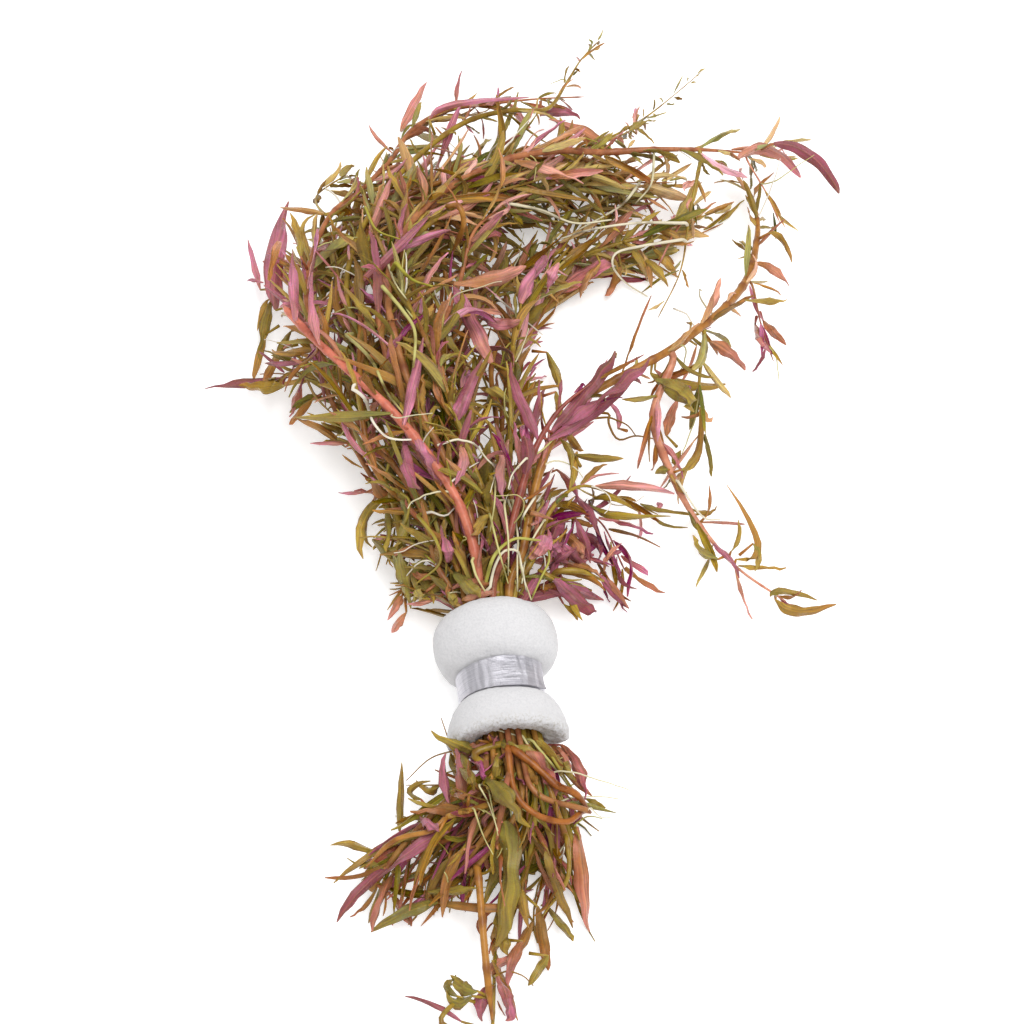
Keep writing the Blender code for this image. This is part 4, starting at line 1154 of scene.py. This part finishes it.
    (-6, -60, -9, -61, -11, -59, 2.2, 0.04), (-9, -60, -11, -58, -9, -56, 1.8, 0.02),
    (-8, -65, -13, -62, -19, -60, 1.0, 0.90), (4, -49, 2, -53, 1, -58, 2.4, 0.68),
    (6, -45, 4, -49, 2, -53, 2.0, 0.45), (-1, -44, -1, -48, -2, -52, 2.2, 0.30),
    (-3, -42, -4, -46, -3, -50, 1.8, 0.66), (4, -42, 1, -42, -1, -43, 1.6, 0.20),
    (-13, -16, -15, -17, -18, -15, 1.8, 0.20), (-17, -19, -19, -17, -15, -15, 1.4, 0.15),
)
PURPLE_FROM = 0.88  # the place on the colour scale beyond which leaves are kept darker
PURPLE_SHADE = 0.6
LOWEST = 0.5 * MM
HIGHEST_ARCH = 4 * MM
NEAR_ARCH = 1.3  # how much higher a leaf arches for its width over two millimetres
FAR_ARCH = 0.9
STALK_RADII = np.array((0.4, 0.22))


def seen_leaf(root, middle, tip, width, draw):
    """One leaf through three places, over what lies between them, and the stem that it grows from."""
    places = smooth_line([(*root, 0), (*middle, 0), (*tip, 0)], 1.5)[:, :2]
    heights = [seen_height(root) or LOW_PILE]
    for place in places[1:]:
        heights.append(seen_height(place, heights[-1]))
    share = np.linspace(0, 1, len(heights))
    ends_and_middle = (heights[0], heights[len(heights) // 2], heights[-1])
    flat = np.interp(share, (0, 0.5, 1), ends_and_middle)
    above = min(max(0.0, float(np.max(heights - flat))), HIGHEST_ARCH)
    above += max(0.0, width - 2) * (NEAR_ARCH if root[1] < 0 else FAR_ARCH) * MM
    first, centre, last = (seen_at(place, max(height, LOWEST)) for place, height in (
        (root, flat[0] + 0.4 * above + 0.5 * MM),
        (middle, flat[len(flat) // 2] + above + 0.8 * MM),
        (tip, flat[-1] + 0.6 * above + 0.5 * MM)))
    owner, start = nearest_stem(first, centre - first, 0.2)
    length = np.linalg.norm(last - first)
    side = np.cross(last - first, EYE - first) + draw.normal(0, 0.1, 3) * length
    handle = 2 * centre - (first + last) / 2
    return owner, np.array((start, first)), {
        "root": first, "handle": handle, "tip": last, "side": side, "length": length}


draw = np.random.default_rng(500)
seen_by_owner, stalks = {}, {}
for *places, width, tint in SEEN_LEAVES:
    root, middle, tip = places[:2], places[2:4], places[4:]
    owner, stalk, leaf = seen_leaf(root, middle, tip, width, draw)
    leaf.update(width=width * MM, tint=tint, twist=draw.normal(0, 0.4), fold=draw.uniform(0.3, 0.9),
                wave=draw.uniform(0.3, 0.8), ragged=draw.uniform(0.04, 0.12), curl=np.zeros(3),
                phase=draw.uniform(0, 6), blunt=draw.uniform(0, 0.7))
    # seen leaves on the near side get a darker shade: painted shade deep in the pile
    shade = draw.uniform(0.1, 0.6) if root[1] < 0 else draw.uniform(0.4, 1.1)
    leaf["shade"] = shade * (PURPLE_SHADE if tint > PURPLE_FROM else 1)
    seen_by_owner.setdefault(owner, []).append(leaf)
    stalks.setdefault(owner, []).append(stalk)
seen_pieces = {}
for owner, leaves in seen_by_owner.items():
    wide = [leaf for leaf in leaves if leaf["width"] > WIDE_LEAF]
    narrow = [leaf for leaf in leaves if leaf["width"] <= WIDE_LEAF]
    seen_pieces[owner] = []
    for pattern, chosen in ((fine_leaf, wide), (plain_leaf, narrow)):
        if chosen:
            rows = {key: np.array([leaf[key] for leaf in chosen]) for key in chosen[0]}
            seen_pieces[owner].append(
                leaf_mesh(owner + "_seen_leaves", pattern, rows, leaf_finishes[slots[owner]]))
    piece = tubes(
        owner + "_stalks", stalks[owner], [STALK_RADII] * len(leaves), stem_finishes[slots[owner]])
    write_values(piece.data, stem_node=0.0, stem_along=0.7)
    seen_pieces[owner].append(piece)
print(len(SEEN_LEAVES), "leaves placed on", len(seen_by_owner), "shoots")

# %% [markdown]
# Rotala grows thin roots from its nodes. Some make loops just above the sleeve and long arcs over
# the far side. The named ones follow the photograph, and a few short ones are added to the shoots.
# Those that would end outside the outline are left out, but for some shoots that stand out by
# themselves. Roots are white to yellow-green, and a few are brown. Bare stretches of stem cross
# the pile here and there.

# %% Roots and bare stems
# radius in millimetres, tone from white at 0 to brown at 1.1, and the places that the root passes
SEEN_ROOTS = {
    "loop by the sleeve": (0.42, 0.7, (
        (-4, 31), (-2, 38), (2, 42), (6, 42), (9, 41), (10, 37), (8, 32), (6, 27))),
    "pale loop": (0.36, 0.1, ((-3, 30), (-2, 35), (0, 39), (3, 39), (4, 35), (5, 29))),
    "straight one": (0.36, 0.3, ((2, 52), (3, 43), (4, 34), (6, 27))),
    "straight two": (0.34, 0.2, ((8, 53), (7, 47), (5, 39), (4, 31))),
    "straight three": (0.36, 0.4, ((-7, 37), (-6, 33), (-4, 29))),
    "short white": (0.34, 0.0, ((-16, 49), (-13, 48), (-11, 50))),
    "curl on the salmon shoot": (0.42, 0.0, (
        (-35, 82), (-32, 79), (-30, 73), (-27, 69), (-24, 68), (-21, 68))),
    "arc in the middle": (0.26, 0.1, ((-11, 68), (-7, 67), (-4, 63), (-2, 60), (-3, 54))),
    "left strand": (0.42, 0.5, ((-40, 101), (-36, 94), (-32, 86))),
    "second left strand": (0.44, 0.5, ((-37, 97), (-31, 90), (-27, 81), (-23, 75))),
    "green strand": (0.48, 0.55, ((-29, 111), (-24, 104), (-21, 98), (-21, 89), (-22, 80))),
    "second green strand": (0.46, 0.6, ((-15, 111), (-20, 104), (-21, 96))),
    "white in the middle": (0.28, 0.0, ((-2, 108), (3, 103), (9, 97))),
    "far arc": (0.4, 0.1, ((44, 130), (32, 130), (21, 128), (13, 125))),
    "far hook": (0.4, 0.1, ((43, 125), (33, 123), (27, 121), (26, 117), (29, 112), (34, 108))),
    "far strand": (0.24, 0.2, ((3, 136), (10, 133), (16, 130))),
    "stub on the long shoot": (0.26, 0.0, ((43, 103), (45, 99), (48, 95))),
    "strand down the middle": (0.30, 0.4, ((-2, 60), (-2, 52), (-3, 44))),
    "pale by the drooping shoot": (0.34, 0.1, ((39, 57), (44, 48), (48, 47))),
    "curly one": (0.34, 1.1, ((24, 75), (24, 72), (26, 68), (30, 69), (35, 68))),
    "second curly one": (0.3, 1.0, ((24, 74), (28, 72), (30, 69))),
    "cream one": (0.3, 0.3, ((0, 52), (1, 42), (1, 33))),
    "cream two": (0.32, 0.2, ((1, 52), (3, 44), (3, 37), (3, 29))),
    "cream three": (0.28, 0.5, ((-3, 48), (-1, 39), (1, 31))),
    "cream four": (0.3, 0.1, ((5, 63), (2, 59), (1, 55))),
    "cream five": (0.3, 0.1, ((7, 53), (4, 47), (4, 42))),
    "cream six": (0.26, 0.2, ((9, 47), (6, 41), (4, 33))),
    "olive curve": (0.45, 0.85, ((-19, 48), (-15, 42), (-14, 36), (-19, 31))),
    "olive fork": (0.5, 0.85, ((-23, 40), (-21, 51), (-23, 54))),
    "second olive curve": (0.4, 0.8, ((-21, 43), (-18, 39), (-15, 36))),
    "far pale one": (0.4, 0.15, ((33, 142), (29, 136), (24, 132), (18, 128))),
    "far pale two": (0.4, 0.15, ((1, 136), (9, 134), (17, 130), (26, 131))),
    "left pale one": (0.3, 0.3, ((-28, 118), (-26, 112), (-23, 107))),
    "left olive one": (0.5, 0.8, ((-26, 118), (-22, 113), (-17, 111))),
    "left olive two": (0.36, 0.8, ((-34, 135), (-31, 128), (-25, 125))),
    "near one": (0.28, 0.35, ((4, -5), (8, -12), (11, -17))),
    "near two": (0.32, 0.55, ((6, -6), (12, -14), (15, -19), (16, -22))),
    "near three": (0.4, 0.85, ((8, -6), (12, -13), (15, -18))),
    "near four": (0.22, 0.4, ((-6, -21), (-4, -27), (-2, -31))),
    "near five": (0.22, 0.3, ((-5, -16), (-3, -20), (-1, -26))),
    "near six": (0.2, 0.4, ((-3, -17), (-2, -22), (-1, -27))),
    "near arc": (0.22, 1.0, ((-9, -8), (-15, -10), (-20, -15))),
    "thin one over the rim": (0.22, 1.0, ((-9, -12), (-11, -7), (-13, -1))),
    "right tip": (0.18, 0.1, ((18, -21), (20, -23), (22, -23))),
    "near loop": (0.22, 0.9, ((-13, -16), (-16, -16), (-20, -16))),
    "near strand": (0.25, 1.0, ((11, -20), (11, -26), (11, -31))),
    "far grey one": (0.34, 0.2, ((37, 150), (36, 142), (32, 136))),
    "thin brown one": (0.22, 1.0, ((1, -55), (4, -56), (6, -58))),
}
# radius in millimetres, finish, and the places that the stem passes
BARE_STEMS = {
    "orange arc": (0.62, "orange", (
        (1, -8), (2, -16), (4, -20), (8, -23), (13, -24), (16, -22), (18, -21))),
    "second orange arc": (0.75, "orange", ((2, -8), (7, -12), (11, -16), (15, -18), (18, -21))),
    "yellow stretch": (0.75, "olive_shoot", ((-6, -9), (-1, -7), (5, -5))),
    "tan stretch": (0.75, "brown_shoot", ((-1, -13), (-8, -18), (-15, -22))),
    "thin tan stretch": (0.5, "brown_shoot", ((-15, -26), (-22, -28), (-28, -33))),
    "green stalk": (0.5, "olive_shoot", ((-12, -65), (-10, -62), (-7, -60))),
    "tan stalk": (0.75, "brown_shoot", ((-5, -35), (-4, -46), (-3, -56), (-2, -64))),
    "olive stub": (0.45, "olive_shoot", ((13, -28), (13, -36), (8, -43))),
    "olive stretch": (0.65, "olive_shoot", ((12, 34), (17, 34), (22, 33))),
    "bent stretch": (0.62, "brown_shoot", ((-11, 135), (-10, 129), (-13, 122))),
    "second bent stretch": (0.62, "brown_shoot", ((-15, 121), (-14, 114), (-14, 108))),
    "left olive stem": (0.75, "olive_shoot", ((-25, 53), (-23, 44), (-24, 39))),
    "orange thin stretch": (0.6, "brown_shoot", ((-1, 95), (-3, 87), (-2, 76), (-1, 68))),
}
ROOTS_OF_A_SHOOT = 6
ROOT_STEP = 1.3 * MM
HIGH_ROOT = 0.44  # thicker ones lie higher over the pile
LOW_LIFT = 0.9 * MM
HIGH_LIFT = 2.0 * MM
STEM_LIFT = 1.5 * MM


def grown_root(name, draw):
    """A short root that wanders off from one of a shoot's nodes."""
    line = fine_lines[name]
    place = beyond_sleeve(line)
    free = np.flatnonzero((place > FAR_END + 4 * MM) | (place < -NEAR_END - 3 * MM))
    row = int(draw.choice(free[free > 0]))
    heading = unit(line[row] - line[row - 1]) + draw.normal(0, 0.8, 3) + 0.6 * UP
    turn = draw.normal(0, 0.35, 3)
    points = [line[row]]
    for _ in range(int(draw.integers(5, 14))):
        heading = unit(heading + turn + draw.normal(0, 0.12, 3) - 0.10 * UP)
        point = points[-1] + heading * ROOT_STEP
        point[2] = max(point[2], 0.4 * MM)
        points.append(point)
    return smooth_line(points)


def root_mesh(name, lines, radii, tones):
    """Roots that taper to their tips, with their tone kept for the material."""
    tapers = [np.linspace(1, 0.45, len(line)) * radius for line, radius in zip(lines, radii)]
    obj = tubes(name, lines, tapers, root_finish)
    tone_of_row = np.repeat(tones, [len(line) for line in lines])
    write_values(obj.data, root_tone=tone_of_row[nearest_rows(obj, np.concatenate(lines))])
    return obj


roots_by_owner = {name: [] for name in shoot_names}
for radius, tone, places in SEEN_ROOTS.values():
    places = smooth_line([(*place, 0) for place in places], 1.0)[:, :2]
    owner, route = laid_route(places, LOW_LIFT if radius < HIGH_ROOT else HIGH_LIFT, 0.93, 2)
    roots_by_owner[owner].append((smooth_line(route), radius, tone))
for name in shoot_names:
    for _ in range(ROOTS_OF_A_SHOOT if "side" not in name else 1):
        root = (grown_root(name, draw), draw.uniform(0.16, 0.26), draw.choice((0.0, 0.2, 0.5, 0.8)))
        stands_out = name in SHOWN_OUTSIDE and name != "top_side_shoot"
        if stands_out or inside(root[0][-1:])[0]:
            roots_by_owner[name].append(root)
for name, roots in roots_by_owner.items():
    if roots:
        seen_pieces.setdefault(name, []).append(root_mesh(name + "_roots", *zip(*roots)))
for label, (radius, slot, places) in BARE_STEMS.items():
    owner, route = laid_route(places, STEM_LIFT, 0.6)
    route[-1, 2] = max(route[-1, 2] - 2.5 * MM, 1 * MM)
    line = smooth_line(route)
    near_node = near_a_node(np.arange(len(line)), NODE_SPACING - 1)
    taper = np.clip((len(line) - np.arange(len(line))) / 7, 0.45, 1)
    piece = tubes(label, [line], [swollen(radius * taper, near_node)], stem_finishes[slot])
    write_values(piece.data, stem_node=near_node[nearest_rows(piece, line)], stem_along=0.5)
    seen_pieces[owner].append(piece)
for name, pieces in seen_pieces.items():
    select_only(shoots[name], *pieces)
    bpy.ops.object.join()
print(sum(len(roots) for roots in roots_by_owner.values()), "roots and", len(BARE_STEMS), "bare stems")

# %% [markdown]
# The sleeve is a soft foam tube that the strip pinches into two lobes. Foam has no flat faces, so
# it is drawn ring by ring along a smooth outline, from the far lip over both lobes to the near
# lip and back through the bore. Its near end is cut a little obliquely below. Layers of
# displacement give it lumps and pores, and fray its near end. The photograph shows it turned by
# seven degrees only, and a little further left than its solid.

# %% Foam sleeve
# places along the axis and radii there, in millimetres
SLEEVE_OUTLINE = (
    (16.0, 7.6), (16.5, 9.2), (15.4, 11.2), (13.0, 12.6), (10.0, 13.0), (7.0, 12.6), (4.7, 11.2),
    (3.5, 9.3), (3.0, 8.2), (0.0, 8.0), (-3.0, 8.2), (-3.5, 9.2), (-4.7, 10.4), (-6.8, 11.5),
    (-9.2, 12.2), (-11.3, 12.5), (-12.5, 12.0), (-12.8, 10.6), (-12.4, 9.0), (-12.0, 7.6),
    (-10.5, 7.0), (0.0, 6.8), (14.5, 7.0), (16.0, 7.6))
SLEEVE_RING = 96
OBLIQUE_CUT = 3.0 * MM
SEEN_AXIS, SEEN_SIDE = turned_left(7.0)
SEEN_CENTRE = sleeve_centre + np.array((-0.3, 0.0, 0.0)) * MM
# size and depth in millimetres, and where
FOAM_LAYERS = ((9.0, 0.8, ""), (0.8, 0.22, ""), (0.9, 0.9, "rough_end"))


def lay_along_axis(points):
    """Points of an upright piece, brought to the sleeve's place and turned as the photograph shows."""
    return SEEN_CENTRE + points[:, :1] * SEEN_SIDE - points[:, 1:2] * UP + points[:, 2:] * SEEN_AXIS


outline = smooth_line([(along * MM, radius * MM, 0) for along, radius in SLEEVE_OUTLINE], 0.8 * MM)
sleeve = added(
    bpy.ops.mesh.primitive_circle_add, "foam_sleeve_soft", vertices=SLEEVE_RING, radius=outline[0, 1],
    location=(0, 0, outline[0, 0]))
bpy.ops.object.transform_apply(location=True)
bpy.ops.object.mode_set(mode="EDIT")
bpy.ops.mesh.select_all(action="SELECT")
for (along, radius, _), (next_along, next_radius, _) in zip(outline, outline[1:]):
    bpy.ops.mesh.extrude_region_move(
        TRANSFORM_OT_translate={"value": (0, 0, next_along - along)})
    grow = next_radius / radius
    bpy.ops.transform.resize(value=(grow, grow, 1), center_override=(0, 0, next_along))
bpy.ops.mesh.select_all(action="SELECT")
bpy.ops.mesh.remove_doubles(threshold=0.01 * MM)
bpy.ops.mesh.normals_make_consistent(inside=False)
bpy.ops.object.mode_set(mode="OBJECT")
shaped_by(sleeve, "SUBSURF", levels=1, render_levels=1)
upright = points_of(sleeve.data)
low = np.clip(upright[:, 1] / (9 * MM), 0, 1) * np.clip((-upright[:, 2] - 5 * MM) / (6 * MM), 0, 1)
upright[:, 2] += OBLIQUE_CUT * low
write_values(sleeve.data, near_end=np.clip((-upright[:, 2] - 8.5 * MM) / (4 * MM), 0, 1) ** 2)
rough_end = sleeve.vertex_groups.new(name="rough_end")
for index, along in enumerate(upright[:, 2]):
    rough_end.add([index], float(np.clip((-along - 8 * MM) / (4 * MM), 0, 1)), "REPLACE")
move_points(sleeve.data, lay_along_axis(upright))
for size, depth, group in FOAM_LAYERS:
    texture = bpy.data.textures.new("foam", "CLOUDS")
    texture.noise_scale = size * MM
    texture.noise_depth = 2
    shaped_by(sleeve, "DISPLACE", texture=texture, texture_coords="LOCAL", strength=depth * MM,
              mid_level=0.5, vertex_group=group)
rested = points_of(sleeve.data)
rested[:, 2] = np.maximum(rested[:, 2], 0.02 * MM)
move_points(sleeve.data, rested)
bpy.ops.object.shade_smooth()
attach(sleeve, "root")
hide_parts("foam_sleeve")
print("sleeve faces", len(sleeve.data.polygons))

# %% [markdown]
# White foam is matt, with cells too small to model, so noise paints shade into them as a slightly
# darker tone and gives them a bump. Darker specks show at its near end.

# %% Foam finish
SPECK_COLOUR = (0.30, 0.27, 0.22)
foam, tree, shader = new_material("foam_white")
pores = noise(tree, 2200, 3)
# the darker tone in the pores is painted shade
painted_pore_shade = ramp(tree, pores, (0.36, (0.565, 0.56, 0.57)), (0.58, (0.62, 0.612, 0.62)))
# darker brownish specks where the pore noise is high, towards the near end
specked = arithmetic(
    tree, "MULTIPLY", ramp(tree, pores, (0.47, 0), (0.62, 1)), value_of(tree, "near_end"))
feed(shader, {
    "Base Color": mix(tree, scaled(tree, specked, 0.6), painted_pore_shade, SPECK_COLOUR),
    "Normal": bump(tree, pores, 0.5, 0.0003),
    "Roughness": 0.95,
    "Specular IOR Level": 0.2,
    "Subsurface Weight": 0.35,
    "Subsurface Radius": (1.0, 1.0, 1.0),
    "Subsurface Scale": 0.001})
wear(sleeve, foam)
print("the sleeve wears", foam.name)

# %% [markdown]
# The strip is soft sheet metal, wound by hand a little more than once. It starts as a long grid
# that is wrapped round the waist by a formula, so its small dents and the lifted corner at its
# outer end can be part of the same formula. Fine scratches run along it.

# %% Metal strip
STRIP_HALF_WIDTH = 3.2 * MM
STRIP_TURNS = 1.2
STRIP_START = math.radians(-8)
STRIP_INNER = 8.45 * MM
STRIP_GROWTH = 0.56 * MM
STRIP_THICKNESS = 0.28 * MM
DENT_DEPTH = 0.06 * MM
CURLED_EDGE = 0.12 * MM
LIFTED_END = 0.25 * MM
LIFTED_CORNER = 0.35 * MM

strip = added(
    bpy.ops.mesh.primitive_grid_add, "metal_strip_wound", x_subdivisions=220, y_subdivisions=14, size=2)
flat = points_of(strip.data)
share, across = (flat[:, 0] + 1) / 2, flat[:, 1]
angle = STRIP_START + share * STRIP_TURNS * 2 * math.pi
dents = (np.sin(angle * 9 + 0.4 * across) * np.sin(angle * 17 - 0.6 * across + 1)
         + 0.7 * np.sin(angle * 31 + 2 + 0.5 * across) + 0.4 * np.sin(angle * 47 + across * 5))
end = np.clip((share - 0.975) / 0.025, 0, 1)
corner = np.clip(-across, 0, 1) * end
distance = STRIP_INNER + STRIP_GROWTH * STRIP_TURNS * share + DENT_DEPTH * dents
distance = distance + CURLED_EDGE * np.abs(across) ** 4 + LIFTED_END * end**2 + LIFTED_CORNER * corner**2
along = across * STRIP_HALF_WIDTH * (1 + 0.05 * np.sin(angle * 3 + 1)) + 0.1 * MM * corner
wound = np.column_stack((np.sin(angle) * distance, -np.cos(angle) * distance, along))
move_points(strip.data, lay_along_axis(wound))
shaped_by(strip, "SOLIDIFY", thickness=STRIP_THICKNESS, offset=0)
bpy.ops.object.mode_set(mode="EDIT")
bpy.ops.mesh.select_all(action="SELECT")
bpy.ops.mesh.normals_make_consistent(inside=False)
bpy.ops.object.mode_set(mode="OBJECT")
smooth_but_for_edges(strip)
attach(strip, "root")
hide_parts("metal_strip")
print("strip reaches", round(float(distance.max()) / MM, 1), "mm from the sleeve's axis")

# %% [markdown]
# The metal is bright but scuffed. Its scratches follow the grid's own UV map, stretched along the
# strip, and they change its tone, its gloss and its surface together.

# %% Metal finish
metal, tree, shader = new_material("strip_silver")
layout = new_node(tree, "UVMap", {}).outputs["UV"]
stretch = new_node(tree, "Mapping", {"Vector": layout, "Scale": (5, 70, 1)}).outputs["Vector"]
scratches = noise(tree, 1.0, 5, 0.5, stretch)
feed(shader, {
    "Base Color": ramp(tree, scratches, (0.3, (0.36, 0.355, 0.40)), (0.7, (0.68, 0.665, 0.70))),
    "Normal": bump(tree, scratches, 0.6, 0.0003),
    "Roughness": ramp(tree, scratches, (0.3, 0.48), (0.7, 0.32)),
    "Metallic": 1.0})
wear(strip, metal)
print("the strip wears", metal.name)

# %% [markdown]
# The floor is a plain white sheet, and the light is soft and comes from all round, with one
# brighter panel above, a little to the right of the bunch and nearer to the camera.

# %% Floor and light
PANEL_PLACE = (0.12, -0.15, 0.8)
PANEL_TILT = (math.radians(-10), math.radians(8), 0)
floor = added(bpy.ops.mesh.primitive_plane_add, "floor", size=6)
floor_finish, tree, shader = new_material("floor_white")
feed(shader, {
    "Base Color": ramp(tree, noise(tree, 3), (0.3, 0.86), (0.7, 0.88)),
    "Roughness": 0.9,
    "Emission Color": (1, 1, 1),
    "Emission Strength": 0.4})
wear(floor, floor_finish)

world = bpy.data.worlds.new("studio")
bpy.context.scene.world = world
world.use_nodes = True
feed(world.node_tree.nodes["Background"], {"Color": (1, 1, 1), "Strength": 0.62})
bpy.ops.object.light_add(type="AREA", location=PANEL_PLACE, rotation=PANEL_TILT)
panel = bpy.context.object
panel.data.shape = "RECTANGLE"
panel.data.size = 0.4
panel.data.size_y = 0.8
panel.data.energy = 6.5
bpy.context.scene.view_settings.view_transform = "Standard"
print("panel", panel.data.energy, "watts")
